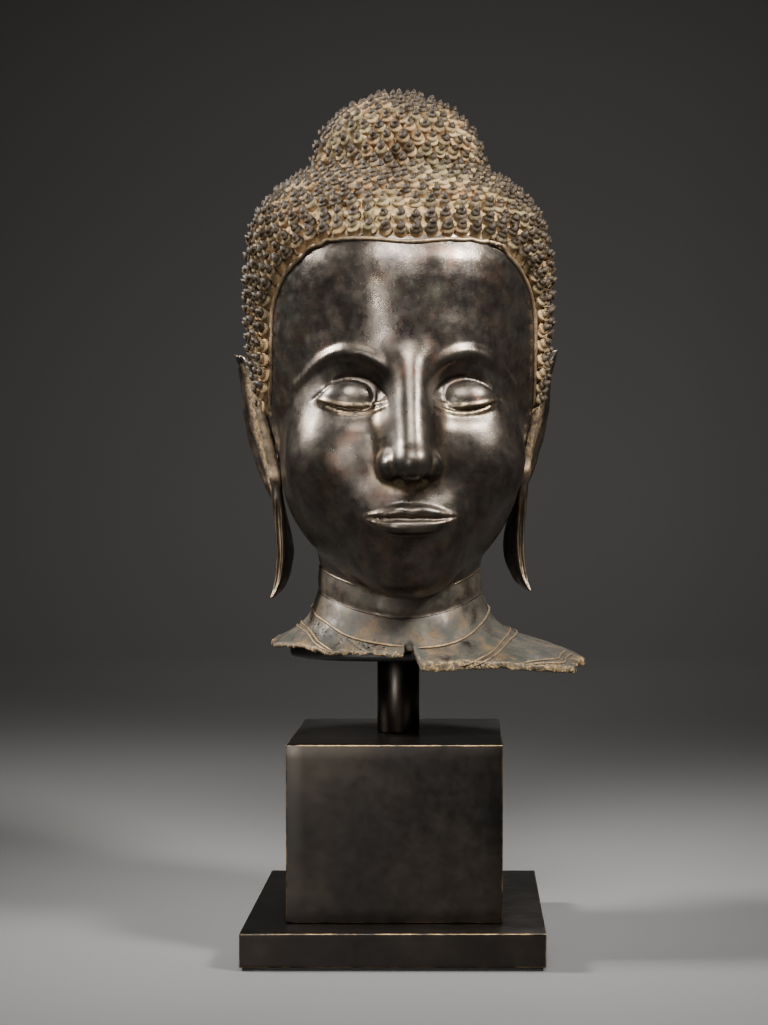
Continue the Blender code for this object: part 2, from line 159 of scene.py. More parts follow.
pad_low, pad_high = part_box("base_pad")
pad = block_between("felt_pad", pad_low, pad_high, 0.5 * MM, 0.1 * MM, 1)
show(pad, felt_black(), "black_felt", "base_pad")


# Plinth slab and pedestal block
# Two square pieces of bronze, the slab from 3/4 in plate and the block a box of brazed sheet.
# Both were darkened with hot chemicals and waxed, and handling has rubbed the edges back to metal.


def waxed_dark_bronze():
    """Chemically darkened bronze under wax: dark, still mirror-like, cloudy, bright on the edges."""
    material, tree, shader, where = new_finish("waxed_dark_bronze")
    cloud = add(tree, "TexNoise", "Fac", {}, {"Vector": where, "Scale": per(60), "Detail": 5.0})
    stops = [(0.32, "2A2826"), (0.5, "2F2B28"), (0.64, "38332D"), (0.75, "33322E")]
    brown = add(tree, "ValToRGB", "Color", {"stops": stops}, {"Fac": cloud})
    feeds = {"Vector": where, "Scale": per(9), "Detail": 6.0, "Roughness": 0.7}
    rub = add(tree, "TexNoise", "Fac", {}, feeds)
    worn = add(tree, "Attribute", "Fac", {"attribute_name": "worn"}, {})
    rubbed = add(tree, "MapRange", "Result", {}, {"Value": rub, "From Min": 0.42, "From Max": 0.75})
    edge = add(tree, "Math", "Value", {"operation": "MULTIPLY"}, {0: worn, 1: rubbed})
    mixed = add(tree, "Mix", "Result", {"data_type": "RGBA"}, {0: edge, 6: brown, 7: linear("A5865A")})
    feeds = {"Value": rub, "From Min": 0.3, "From Max": 0.7, "To Min": 0.3, "To Max": 0.42}
    gloss = add(tree, "MapRange", "Result", {}, feeds)
    brush = add(tree, "TexNoise", "Fac", {}, {"Vector": where, "Scale": per(1.2), "Detail": 3.0})
    raised = add(tree, "Bump", "Normal", {}, {"Height": brush, "Strength": 0.05, "Distance": 0.03 * MM})
    feed(tree, shader, {"Base Color": mixed, "Roughness": gloss, "Normal": raised, "Metallic": 1.0})
    return material


stand_metal = waxed_dark_bronze()
for seed, name, node in ((2, "bronze_slab", "plinth_slab"), (3, "bronze_block", "pedestal_block")):
    low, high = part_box(node)
    piece = block_between(name, low, high, 0.6 * MM, 0.08 * MM, seed)
    show(piece, stand_metal, "stand_bronze", node)


# Support rod
# A length of 1 in round bar, faced square in the lathe at both ends and darkened like the block.
# It is screwed up into the insert and down into the block.


def quads_between(rings, count):
    """The faces between rings that have this many points each."""
    faces = []
    for ring, i in itertools.product(range(rings - 1), range(count)):
        a, b = ring * count + i, ring * count + (i + 1) % count
        faces.append((a, b, b + count, a + count))
    return faces


def circle(radius, height, count):
    """A ring of points round the vertical axis, as rows (x, y, z)."""
    turns = np.arange(count) * 2 * math.pi / count
    return np.stack([radius * np.cos(turns), radius * np.sin(turns), np.full(count, height)], axis=1)


def rings_mesh(name, rings):
    """A closed solid through rings of as many points, each an array of rows (x, y, z) in metres."""
    count = len(rings[0])
    last = (len(rings) - 1) * count
    faces = quads_between(len(rings), count)
    faces += [tuple(reversed(range(count))), tuple(range(last, last + count))]
    mesh = bpy.data.meshes.new(name)
    mesh.from_pydata(np.concatenate(rings).tolist(), [], faces)
    return new_object(name, mesh)


rod_low, rod_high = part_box("support_rod")
rod_radius = (rod_high.x - rod_low.x) / 2
chamfer = 0.4 * MM
rod_profile = [(rod_radius - chamfer, rod_low.z), (rod_radius, rod_low.z + chamfer)]
rod_profile += [(rod_radius, rod_high.z - chamfer), (rod_radius - chamfer, rod_high.z)]
rod = rings_mesh("round_bar", [circle(radius, height, 96) for radius, height in rod_profile])
rod.data.set_sharp_from_angle(angle=math.radians(50))
show(rod, stand_metal, "stand_bronze", "support_rod")


# Neck insert
# A block carved to fill the broken neck, on an oval plate that carries the head's weight.
# It is painted satin black, and only the plate's rounded rim shows below the break.

HEAD_TURN = math.radians(5.5)
PLATE_HALF_WIDTH, PLATE_HALF_DEPTH = 67.0, 42.0
PLATE_THICK, RIM_ROUND = 8.0, 3.0
NECK_Y = 12.0
NECK_HALF_WIDTH = 49.0
NECK_HALF_DEPTH = 50.0
NECK_WALL = 6.5
AXIS_Y = 5.0


def neck_oval(angles, out=0.0):
    """Distance from the head's axis to the neck's oval, grown by out. Millimetres."""
    a, b = NECK_HALF_WIDTH + out, NECK_HALF_DEPTH + out
    off = AXIS_Y - NECK_Y
    qa = (np.sin(angles) / a) ** 2 + (np.cos(angles) / b) ** 2
    qb = -2 * off * np.cos(angles) / b**2
    qc = (off / b) ** 2 - 1
    return (-qb + np.sqrt(qb**2 - 4 * qa * qc)) / (2 * qa)


def satin_black_paint():
    """Brushed black paint on wood: dark and even, a faint brush texture, a soft sheen."""
    material, tree, shader, where = new_finish("satin_black_paint")
    stroke = add(tree, "TexNoise", "Fac", {}, {"Vector": where, "Scale": per(5), "Detail": 6.0})
    stops = [(0.35, "0D0C0B"), (0.7, "1B1917")]
    colour = add(tree, "ValToRGB", "Color", {"stops": stops}, {"Fac": stroke})
    raised = add(tree, "Bump", "Normal", {}, {"Height": stroke, "Strength": 0.3, "Distance": 0.2 * MM})
    feed(tree, shader, {"Base Color": colour, "Normal": raised, "Roughness": 0.42})
    return material


def round_axis(angles, radius, level):
    """Rows (x, y, z) at a radius from the head's axis, in directions measured from its front."""
    return np.stack([radius * np.sin(angles), AXIS_Y - radius * np.cos(angles), level + 0 * angles], axis=1)


def insert_rings():
    """The plate's rounded rim from below, its top, and the plug up inside the neck."""
    low, high = (np.array(corner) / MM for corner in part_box("neck_insert"))
    turns = np.linspace(0, 2 * math.pi, 144, endpoint=False)
    plate = 1 / np.sqrt((np.sin(turns) / PLATE_HALF_WIDTH) ** 2 + (np.cos(turns) / PLATE_HALF_DEPTH) ** 2)
    plug = np.minimum(neck_oval(turns, -NECK_WALL - 0.4), plate - 1)
    rim = [(1 - math.sin(a), 1 - math.cos(a)) for a in np.linspace(0, math.pi / 2, 6)]
    outline = [(plate - RIM_ROUND * inward, RIM_ROUND * up) for inward, up in rim]
    outline += [(plate, PLATE_THICK - 0.8), (plate - 0.8, PLATE_THICK), (plug + 0.8, PLATE_THICK)]
    outline += [(plug, PLATE_THICK + 0.8), (plug, high[2] - low[2])]
    turn = np.array(Matrix.Rotation(HEAD_TURN, 3, "Z"))
    foot = ((low[0] + high[0]) / 2 + AXIS_Y * math.sin(HEAD_TURN), 0, low[2])
    return [(round_axis(turns, radius, level) @ turn.T + foot) * MM for radius, level in outline]


show(rings_mesh("black_insert", insert_rings()), satin_black_paint(), "black_lacquer", "neck_insert")


# Head casting
# A hollow lost-wax casting, modelled in wax over a clay core: skull, face, neck and shoulders.
# It is written as a field, below zero inside, in millimetres from the insert's underside.
# The shoulders broke off long ago, and burial left a dark patina with green and red in it.

HEAD_LEAN = math.radians(-0.25)
FACE_THIRD = 65.0
CHIN = 41.0
NOSE_BASE = CHIN + FACE_THIRD
BROW = NOSE_BASE + FACE_THIRD
HAIR_LIFT = 7.0
HAIRLINE = BROW + FACE_THIRD + HAIR_LIFT
EYE = BROW - 20.0
EYE_OUT, EYE_HALF_WIDTH = 31.5, 19.0
MOUTH = NOSE_BASE - FACE_THIRD / 3
SHEET = 5.0
PLUG_TOP = 46.0
insert_low, insert_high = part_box("neck_insert")
head_axis = (insert_low.x + insert_high.x) / 2 + AXIS_Y * MM * math.sin(HEAD_TURN)
head_place = (
    Matrix.Translation((head_axis, 0, insert_low.z))
    @ Matrix.Rotation(HEAD_TURN, 4, "Z")
    @ Matrix.Rotation(HEAD_LEAN, 4, "Y")
    @ Matrix.Scale(MM, 4)
)


def merge(a, b, k):
    """The union of two fields, with a fillet about k wide."""
    h = np.maximum(k - np.abs(a - b), 0) / k
    return np.minimum(a, b) - h * h * (k / 4)


def carve(a, b, k):
    """Field a with field b cut away, with a rounded edge."""
    return -merge(-a, b, k)


def ellipsoid(p, centre, radii):
    """The field of an ellipsoid, from its centre and its three radii."""
    x, y, z = (p[n] - centre[n] for n in range(3))
    a, b, c = radii
    near = np.sqrt((x / a) ** 2 + (y / b) ** 2 + (z / c) ** 2)
    steep = np.sqrt((x / a**2) ** 2 + (y / b**2) ** 2 + (z / c**2) ** 2)
    return near * (near - 1) / np.maximum(steep, 1e-6)


def taper(p, start, end, r_start, r_end):
    """A round bar with a radius at each end."""
    way = np.subtract(end, start)
    t = sum((p[n] - start[n]) * way[n] for n in range(3)) / (way @ way)
    t = np.clip(t, 0, 1)
    x, y, z = (p[n] - start[n] - t * way[n] for n in range(3))
    return np.sqrt(x * x + y * y + z * z) - r_start - (r_end - r_start) * t


def face_masses(p):
    """Skull, face, jaw, chin, cheeks and mouth mound, then the sockets."""
    f = ellipsoid(p, (0, 10, 206), (80, 99, 90))
    f = merge(f, ellipsoid(p, (0, -4, 136), (72, 83, 94)), 30)
    f = merge(f, taper(p, (38, 2, 102), (10, -55, 64), 21, 18.5), 30)
    f = merge(f, ellipsoid(p, (0, -64, CHIN + 17), (19, 20.5, 17)), 18)
    f = merge(f, ellipsoid(p, (37, -54, 116), (27, 25, 26)), 30)
    f = merge(f, ellipsoid(p, (0, -64, MOUTH + 1), (31, 27, 20)), 22)
    return carve(f, ellipsoid(p, (30, -98, EYE + 5), (27, 22.5, 15)), 12)


def with_nose(p):
    """The face with its nose: bridge, ridge, tip, wings and nostrils."""
    f = face_masses(p)
    f = merge(f, taper(p, (0, -80, BROW - 2), (0, -95, NOSE_BASE + 13), 8.5, 12.5), 16)
    f = merge(f, taper(p, (0, -87.5, BROW - 5), (0, -105, NOSE_BASE + 11), 5.2, 6.6), 8)
    f = merge(f, ellipsoid(p, (0, -104.5, NOSE_BASE + 9), (9.2, 9.5, 8.6)), 6)
    f = merge(f, ellipsoid(p, (12, -94.5, NOSE_BASE + 7.5), (6, 10.5, 7.4)), 4)
    return carve(f, ellipsoid(p, (7.2, -98.5, NOSE_BASE - 1), (3.2, 5.6, 2.8)), 2)


def upper_lid(u):
    """Level of the upper lid's edge, from the inner corner at -1 to the outer one at 1."""
    return EYE - 4.4 + 3.2 * u**2 + 0.9 * u


def lower_lid(u):
    """Level of the lower lid's edge, at the same share of the eye's width."""
    return EYE - 7.4 + 5.4 * u**2 + 0.9 * u


def with_eyes(p):
    """Eyeballs under calm, lowered lids, with a narrow opening between the upper and lower lid."""
    x, _, z = p
    middle = (EYE_OUT, -62.5, EYE - 0.5)
    u = (x - EYE_OUT) / EYE_HALF_WIDTH
    upper = np.maximum(ellipsoid(p, middle, (21, 18.9, 16.5)), upper_lid(u) - z)
    lower = np.maximum(ellipsoid(p, middle, (20.4, 17.7, 15.8)), z - lower_lid(u))
    f = merge(with_nose(p), ellipsoid(p, middle, (18.6, 15.9, 14.3)), 2)
    return merge(merge(f, lower, 0.9), upper, 0.9)


def curve(rows, count):
    """A smooth curve through rows of numbers."""
    rows = np.array(rows, float)
    rows = np.vstack([2 * rows[0] - rows[1], rows, 2 * rows[-1] - rows[-2]])
    t = np.linspace(0, len(rows) - 3, count)
    i = np.clip(t.astype(int), 0, len(rows) - 4)
    u = (t - i)[:, None]
    a, b, c, d = (rows[i + n] for n in range(4))
    return 0.5 * (2 * b + (c - a) * u + (2 * a - 5 * b + 4 * c - d) * u**2 + (3 * b - a - 3 * c + d) * u**3)


def on_skin(field, rows, count, shift):
    """A strand laid on the front of a field, from rows (x, z, radius), moved by shift."""
    line = curve(rows, count)
    depths = np.arange(-125, -30, 0.25)
    x, y, z = line[:, :1], depths[None, :], line[:, 1:2]
    first = depths[np.argmax(field((x, y, z)) < 0, axis=1)]
    points = np.stack([line[:, 0], first, line[:, 1]], axis=1) + shift
    return points, line[:, 2]


def face_lines():
    """Brows, lids and lips: what is laid on the face or cut into it, with its fillet."""
    brow = [(6, BROW - 10, 1.6), (13, BROW - 1.5, 2.6), (24, BROW + 5, 3)]
    brow += [(37, BROW + 6.5, 2.9), (50, BROW + 1, 2.3), (62, BROW - 10, 1)]
    fold = [(13, EYE + 1, 0.4), (21, EYE + 9.5, 0.8), (32, EYE + 12.6, 1)]
    fold += [(43, EYE + 9.5, 0.8), (53.5, EYE + 0.5, 0.4)]
    u = np.linspace(-0.95, 1.06, 9)
    thick = 0.35 + 0.75 * np.maximum(1 - u**2, 0) ** 0.5
    across = EYE_OUT + EYE_HALF_WIDTH * u
    upper_rim = np.stack([across, upper_lid(u) + 0.7, thick], axis=1)
    lower_rim = np.stack([across, lower_lid(u) - 0.7, thick], axis=1)
    upper_lip = [(0, MOUTH + 3.1, 3), (5, MOUTH + 4, 3.3), (13, MOUTH + 2.9, 2.9), (21, MOUTH + 1.4, 1.8)]
    upper_lip += [(27, MOUTH + 0.9, 0.6)]
    lower_lip = [(0, MOUTH - 4.4, 4.2), (10, MOUTH - 3.9, 3.9), (19, MOUTH - 1.8, 2.5)]
    lower_lip += [(25.5, MOUTH + 0.3, 0.8)]
    parting = [(0, MOUTH - 0.3, 0.8), (6, MOUTH + 0.2, 0.8), (14, MOUTH - 0.3, 0.8), (28, MOUTH + 1, 0.5)]
    return [
        (merge, *on_skin(face_masses, brow, 30, (0, 1.6, 0)), 3.5),
        (carve, *on_skin(with_eyes, fold, 24, (0, -0.2, 0)), 1.6),
        (merge, *on_skin(with_nose, upper_lip, 12, (0, 0.6, 0)), 1.6),
        (merge, *on_skin(with_nose, lower_lip, 12, (0, 0.8, 0)), 1.6),
        (carve, *on_skin(with_nose, parting, 14, (0, -1.6, 0)), 1),
        (merge, *on_skin(with_eyes, lower_rim, 20, (0, 0.1, 0)), 1.2),
        (merge, *on_skin(with_eyes, upper_rim, 20, (0, 0.3, 0)), 1.2),
    ]


def within(axes, low, high):
    """The part of a grid that lies between two corners."""
    return tuple(
        slice(int(np.searchsorted(a.ravel(), lo)), int(np.searchsorted(a.ravel(), hi)))
        for a, lo, hi in zip(axes, low, high)
    )


def at(axes, box):
    """The axes of a part of a grid."""
    return axes[0][box[0]], axes[1][:, box[1]], axes[2][:, :, box[2]]


def lay(f, axes, lines):
    """Lays strands on both halves of a field, each within its own part of the grid."""
    for (how, points, radii, fillet), side in itertools.product(lines, (1, -1)):
        line = points * (side, 1, 1)
        reach = radii.max() + fillet + 2
        box = within(axes, line.min(0) - reach, line.max(0) + reach)
        p = at(axes, box)
        bars = [taper(p, *ends) for ends in zip(line, line[1:], radii, radii[1:])]
        bar = bars[0]
        for other in bars[1:]:
            bar = merge(bar, other, 1.5)
        f[box] = how(f[box], bar, fillet)
    return f


# Degrees from the front, positive to the right, and how far out from the neck the sheet breaks.
BREAK = [(-180, 30), (-140, 27), (-112, 25), (-97, 29), (-84, 29.5), (-74, 23.5), (-66, 20.5)]
BREAK += [(-56, 19), (-43, 19), (-39, 15.5), (-30, 13.5), (-17, 12.5), (-2, 12), (-0.5, 5.5)]
BREAK += [(4.5, 5.5), (7.5, 18), (15, 21), (30, 23), (45, 34), (58, 52), (66, 64)]
BREAK += [(74, 59), (82, 65), (96, 49), (112, 34), (140, 29), (180, 30)]

# The levels of the three neck creases at the sides, and how far each hangs lower in front.
CREASES = (24.0, 42.0, 57.0)
CREASE_DROP = 15.5
# The shoulders' upper surface: its level beside the neck, how much lower it is in front, how far
# it drops in a curve of this length, and how steeply it goes on from there.
SHOULDER_TOP, SHOULDER_DIP = 40.0, 15.0
SHOULDER_DROP, SHOULDER_CURVE, SHOULDER_SLOPE = 21.0, 8.0, 0.27
# Where the notch in the front edge is, in degrees from the front.
NOTCH = 2.0


def from_corners(t, value):
    """A value inside a cell, from those at its eight corners."""
    total = 0
    for i, j, k in itertools.product((0, 1), repeat=3):
        weight = (t[0] if i else 1 - t[0]) * (t[1] if j else 1 - t[1]) * (t[2] if k else 1 - t[2])
        total = total + weight * value(i, j, k)
    return total


def grain(p, size, seed):
    """Smooth random values from -1 to 1 that change over about size."""
    table = np.random.default_rng(seed).uniform(-1, 1, (32, 32, 32)).astype(np.float32)
    cell = [c / size for c in p]
    x, y, z = low = [np.floor(c).astype(np.int32) for c in cell]
    t = [c - f for c, f in zip(cell, low)]
    t = [u * u * (3 - 2 * u) for u in t]
    return from_corners(t, lambda i, j, k: table[(x + i) % 32, (y + j) % 32, (z + k) % 32])


def shoulder(out, front):
    """Height of the shoulder's upper surface at a distance out from the neck."""
    out = np.maximum(out, 0)
    curved = SHOULDER_DROP * (1 - np.exp(-out / SHOULDER_CURVE))
    return SHOULDER_TOP - SHOULDER_DIP * front - curved - SHOULDER_SLOPE * out


def frontness(angles):
    """How far to the front a direction is, from 0 behind to 1 in front."""
    return ((1 + np.cos(angles)) / 2) ** 3


def round_neck(p):
    """Direction round the neck, distance out from it, and how far to the front it is."""
    x, y, _ = p
    angles = np.arctan2(x, AXIS_Y - y)
    out = np.hypot(x, AXIS_Y - y) - neck_oval(angles)
    return angles, out, frontness(angles)


def neck_and_shoulders(p):
    """The neck with its rings of flesh, and the broken sheet of the shoulders."""
    z = p[2]
    angles, out, front = round_neck(p)
    top = shoulder(out, front)
    steep = SHOULDER_DROP / SHOULDER_CURVE * np.exp(-np.maximum(out, 0) / SHOULDER_CURVE) + SHOULDER_SLOPE
    lean = 1 / np.sqrt(1 + steep**2)
    upper = (z - top) * lean
    bore = 16 - 8 * front
    share = np.clip((out + NECK_WALL) / (NECK_WALL + 5), 0, 1)
    thick = SHEET * np.where((angles < 0) & (angles > -1.7), 0.6, 1.25 - 0.25 * np.clip(out / 30, 0, 1))
    under = bore + (shoulder(5, front) - 1.25 * SHEET - bore) * share
    under = np.where(out > 5, top - thick, under)
    jag = 0.9 * grain((p[0], p[1], 0 * z), 9, 11) + 0.55 * grain(p, 2.6, 12)
    edge = (out - np.interp(np.degrees(angles), *zip(*BREAK)) - jag) * 0.9
    lower = (under - z) * 0.9
    sheet = np.maximum(np.maximum(upper, edge), lower)
    column = np.maximum(out, lower)
    f = merge(column, sheet, 5)
    ends = (CREASES[0] - 14, *CREASES, CREASES[2] + 12)
    level = np.interp(z + CREASE_DROP * front, ends, (-1, 0, 1, 2, 3))
    ring = np.abs(np.sin(math.pi * level)) ** 0.6
    fade = np.clip((level + 0.6) * 2.5, 0, 1) * np.clip(3 - level, 0, 1)
    near_neck = np.clip(1.6 - np.maximum(out, 0) / 4.5, 0, 1)
    return f - 1.6 * (ring - 0.4) * fade * near_neck


# The mass of hair: at each level, its half width and its reach to the front and to the back.
HAIR = [
    (64, 48, 60, 56),
    (70, 57, 66, 68),
    (82, 65, 74, 80),
    (112, 74, 90, 93),
    (152, 84, 95.5, 102),
    (192, 89.5, 100, 108),
    (228, 90.5, 99.5, 108),
    (246, 89, 93, 103),
    (258, 86, 85, 97),
    (267, 82, 77, 90),
    (276, 74.5, 67.5, 81),
    (283, 65.5, 59, 71),
    (289, 56, 52.5, 60),
    (295, 51, 49, 53),
    (307, 48, 46.5, 48),
    (319, 41, 40, 41),
    (330, 28, 27, 28),
    (334.5, 19, 19, 19),
    (337, 10, 10, 10),
    (338, 1, 1, 1),
]
HAIR_LEVELS, HAIR_SIDE, HAIR_FRONT, HAIR_BACK = zip(*HAIR)
HAIR_Y = 10.0
SCALP_SQUARENESS = 2.2
SCALP_SINK = 2.7
HAIR_PROUD = 2.1
WINDOW_HALF = 81.0
WINDOW_CORNER = 44.0
WINDOW_LOW = 147.0
WINDOW_BACK = -4.0


# Level, how far out and how far back the front and back edges are, and the thickness.
EAR = [
    (185.5, 98.5, 99.2, 17, 19, 2),
    (184, 97.5, 99.4, 14, 21, 4),
    (178, 95, 99.5, 8, 31, 6.5),
    (168, 91.5, 98.5, 4, 40, 8),
    (150, 88, 96, 1, 45, 9),
    (131, 84, 90.5, 0, 43, 9),
    (114, 80.5, 84.5, 0, 37, 9),
    (100, 78.5, 80, 0, 30, 8),
    (84, 77.5, 74.5, 1, 26, 7.5),
    (66, 76.5, 70.5, 1, 24, 7),
    (52, 76.9, 71.5, -1, 19, 6),
    (43, 78, 74, -3, 11, 4),
    (38, 79.3, 78, -5, 1, 2),
]
EAR_LIFT = 1.5


def eased(levels, values, z):
    """Values of a smooth curve through the levels that never overshoots."""
    x, y = np.array(levels, float), np.array(values, float)
    steps = np.diff(y) / np.diff(x)
    both = steps[:-1] + steps[1:]
    same_way = steps[:-1] * steps[1:] > 0
    slope = np.zeros(len(x))
    slope[1:-1] = np.where(same_way, 2 * steps[:-1] * steps[1:] / np.where(same_way, both, 1), 0)
    z = np.clip(z, x[0], x[-1])
    i = np.clip(np.searchsorted(x, z) - 1, 0, len(x) - 2)
    w = x[i + 1] - x[i]
    t = (z - x[i]) / w
    ends = y[i] * (2 * t**3 - 3 * t**2 + 1) + y[i + 1] * (3 * t**2 - 2 * t**3)
    return ends + w * slope[i] * (t**3 - 2 * t**2 + t) + w * slope[i + 1] * (t**3 - t**2)


def hair_over_brow(x):
    """The hairline's height across the forehead, with a slight dip in the middle."""
    return HAIRLINE - 2.6 * np.exp(-((x / 17) ** 2))


def outside_window(p):
    """How far a point of the scalp stands outside the face's window."""
    x, y, z = p
    across = np.abs(x) - (WINDOW_HALF - WINDOW_CORNER)
    up = z - (hair_over_brow(x) - WINDOW_CORNER)
    arch = np.hypot(np.maximum(across, 0), np.maximum(up, 0)) + np.minimum(np.maximum(across, up), 0)
    return np.maximum(y - WINDOW_BACK, np.minimum(arch - WINDOW_CORNER, z - WINDOW_LOW))


def beside_ear(p, margin):
    """Where the head is bare: round the ear, in front of it, and on the nape under the hair."""
    x, y, z = p
    back = np.interp(z, [row[0] for row in EAR[::-1]], [row[4] for row in EAR[::-1]]) + margin
    low = z < np.where(y < 6, WINDOW_LOW, 188)
    nape = z < 76 + 50 * np.clip((78 - y) / 60, 0, 1)
    return (np.abs(x) > 45) & (y > WINDOW_BACK - 12) & (y < back) & low | nape & (y > WINDOW_BACK)


def scalp_sizes(z):
    """The scalp's half width and its reach to the front and back, at a level."""
    return [eased(HAIR_LEVELS, values, z) for values in (HAIR_SIDE, HAIR_FRONT, HAIR_BACK)]


def scalp_share(p):
    """How far out a point is, as a share of the way to the scalp, and the scalp's size there."""
    x, y, z = p
    side, front, back = scalp_sizes(z)
    depth = np.where(y < HAIR_Y, front, back)
    n = SCALP_SQUARENESS
    return ((np.abs(x) / side) ** n + (np.abs(y - HAIR_Y) / depth) ** n) ** (1 / n), side, depth


def scalp(p):
    """The mass of hair under the curls, before the face's window is cut from it."""
    z = p[2]
    share, side, depth = scalp_share(p)
    steep = (eased(HAIR_LEVELS, HAIR_SIDE, z + 0.5) - eased(HAIR_LEVELS, HAIR_SIDE, z - 0.5)) ** 2
    f = (share - 1) * np.minimum(side, depth) / np.sqrt(1 + steep)
    ends = np.maximum(HAIR_LEVELS[0] - z, z - HAIR_LEVELS[-1])
    return np.maximum(f, ends)


def hairline():
    """The line where the hair meets the face, up one side and down the other."""
    inner, top = WINDOW_HALF - WINDOW_CORNER, HAIRLINE - WINDOW_CORNER
    turns = np.linspace(0, math.pi / 2, 60)
    flat = np.linspace(inner, 0, 40)
    x = np.concatenate([np.full(60, WINDOW_HALF), inner + WINDOW_CORNER * np.cos(turns), flat])
    z = [np.linspace(WINDOW_LOW + 3, top, 60), top + WINDOW_CORNER * np.sin(turns), hair_over_brow(flat)]
    z = np.concatenate(z)
    side, front, _ = scalp_sizes(z)
    n = SCALP_SQUARENESS
    y = HAIR_Y - front * (1 - (np.minimum(x / side, 1)) ** n) ** (1 / n)
    line = np.stack([x, y, z], axis=1)
    return np.concatenate([line, line[::-1] * (-1, 1, 1)])


def spaced(*stretches):
    """A grid's axis: stretches of (start, end, step), coarser while trying things out."""
    coarse = 1.0
    parts = [np.arange(a, b, step * coarse) for a, b, step in stretches]
    return np.concatenate(parts).astype(np.float32)


def head_field():
    """The whole casting's field on a grid that is fine over the face, and how much of it is hair."""
    x = spaced((-118, -48, 1.6), (-48, 48, 0.95), (48, 118.5, 1.6))
    y = spaced((-121, -52, 0.95), (-52, 123, 1.7))
    z = spaced((-9, 62, 1.15), (62, 188, 1.0), (188, 343, 1.7))
    axes = x[:, None, None], y[None, :, None], z[None, None, :]
    f = with_eyes((np.abs(axes[0]), axes[1], axes[2])).astype(np.float32)
    hair = scalp(axes) + SCALP_SINK
    drop, inner = np.maximum(222 - axes[2], 0), np.clip((76 - np.abs(axes[0])) / 32, 0, 1)
    under = HAIR_PROUD + 0.5 * drop**2 / (drop + 26) * inner**2 * (3 - 2 * inner)
    under = under + 0.6 * np.maximum(150 - axes[2], 0)
    f = merge(f, hair + under, 9)
    f = lay(f, axes, face_lines())
    box = within(axes, (-200, -200, -200), (200, 200, 125))
    f[box] = merge(f[box], neck_and_shoulders(at(axes, box)), 7)
    hair = carve(hair - 0.7 * grain(axes, 5, 23), outside_window(axes), 1.2)
    angles, out, _ = round_neck(at(axes, box))
    plug = np.maximum(out + NECK_WALL - 0.5, at(axes, box)[2] - PLUG_TOP - 0.5)
    f[box] = np.maximum(f[box], -plug)
    crust = (f - hair).astype(np.float32)
    f = merge(f, hair, 1.2).astype(np.float32)
    near = np.nonzero(np.abs(f) < 4)
    p = tuple(c[i] for c, i in zip((x, y, z), near))
    f[near] += 0.3 * grain(p, 21, 21) + 0.12 * grain(p, 7, 22)
    return (x, y, z), f, crust


def surface_of(axes, f):
    """Surface nets: one point in each cell that the surface crosses, and a quad on each crossing."""
    inside = f < 0
    sizes = [n - 1 for n in f.shape]
    corners = list(itertools.product((0, 1), repeat=3))
    count = np.zeros(sizes, np.int8)
    for c in corners:
        count += inside[tuple(slice(i, i + n) for i, n in zip(c, sizes))]
    cell = np.nonzero((count > 0) & (count < 8))
    number = np.full(sizes, -1, np.int32)
    number[cell] = np.arange(len(cell[0]))
    value = {c: f[tuple(n + i for n, i in zip(cell, c))] for c in corners}
    total = np.zeros((len(cell[0]), 3))
    hits = np.zeros(len(cell[0]))
    for start in corners:
        for axis in [n for n in range(3) if not start[n]]:
            end = tuple(1 if n == axis else c for n, c in enumerate(start))
            crossing = (value[start] < 0) != (value[end] < 0)
            t = np.where(crossing, value[start] / np.where(crossing, value[start] - value[end], 1), 0)
            for n in range(3):
                total[:, n] += crossing * (start[n] + (t if n == axis else 0))
            hits += crossing
    points = np.stack(cell, 1) + total / hits[:, None]
    quads = []
    for axis in range(3):
        u, v = [n for n in range(3) if n != axis]
        one = [slice(1, -1)] * 3
        two = [slice(1, -1)] * 3
        one[axis], two[axis] = slice(0, -1), slice(1, None)
        first, second = inside[tuple(one)], inside[tuple(two)]
        where = np.nonzero(first != second)
        base = [w + (0 if n == axis else 1) for n, w in enumerate(where)]
        ring = []
        for du, dv in ((1, 1), (0, 1), (0, 0), (1, 0)):
            place = list(base)
            place[u], place[v] = place[u] - du, place[v] - dv
            ring.append(number[tuple(place)])
        quad = np.stack(ring, 1)
        flip = first[where] == (axis == 1)
        quad[flip] = quad[flip][:, ::-1]
        quads.append(quad)
    for n in range(3):
        points[:, n] = np.interp(points[:, n], np.arange(len(axes[n])), axes[n])
    return points, np.concatenate(quads)


def mesh_from(name, points, faces):
    """A smooth mesh object from arrays of points and of faces with as many corners each."""
    faces = np.asarray(faces, np.int32)
    mesh = bpy.data.meshes.new(name)
    mesh.vertices.add(len(points))
    mesh.vertices.foreach_set("co", np.asarray(points, np.float32).ravel())
    mesh.loops.add(faces.size)
    mesh.loops.foreach_set("vertex_index", faces.ravel())
    mesh.polygons.add(len(faces))
    mesh.polygons.foreach_set("loop_start", np.arange(0, faces.size, faces.shape[1], dtype=np.int32))
    mesh.update(calc_edges=True)
    mesh.validate()
    return new_object(name, mesh)


def sampled(axes, f, points):
    """Values of a grid at points, by interpolation."""
    where = [np.interp(points[:, n], axes[n], np.arange(len(axes[n]))) for n in range(3)]
    x, y, z = low = [np.clip(w.astype(int), 0, len(a) - 2) for w, a in zip(where, axes)]
    return from_corners([w - i for w, i in zip(where, low)], lambda i, j, k: f[x + i, y + j, z + k])


def thinned(obj, triangles):
    """The object's mesh collapsed to about so many triangles, fewest where it is smoothest."""
    now = sum(len(p.vertices) - 2 for p in obj.data.polygons)
    modifier = obj.modifiers.new("thin", "DECIMATE")
    modifier.ratio = min(1, triangles / now)
    graph = bpy.context.evaluated_depsgraph_get()
    mesh = bpy.data.meshes.new_from_object(obj.evaluated_get(graph))
    obj.modifiers.clear()
    old, obj.data = obj.data, mesh
    bpy.data.meshes.remove(old)
    mesh.name = obj.name
    mesh.shade_smooth()
    return obj


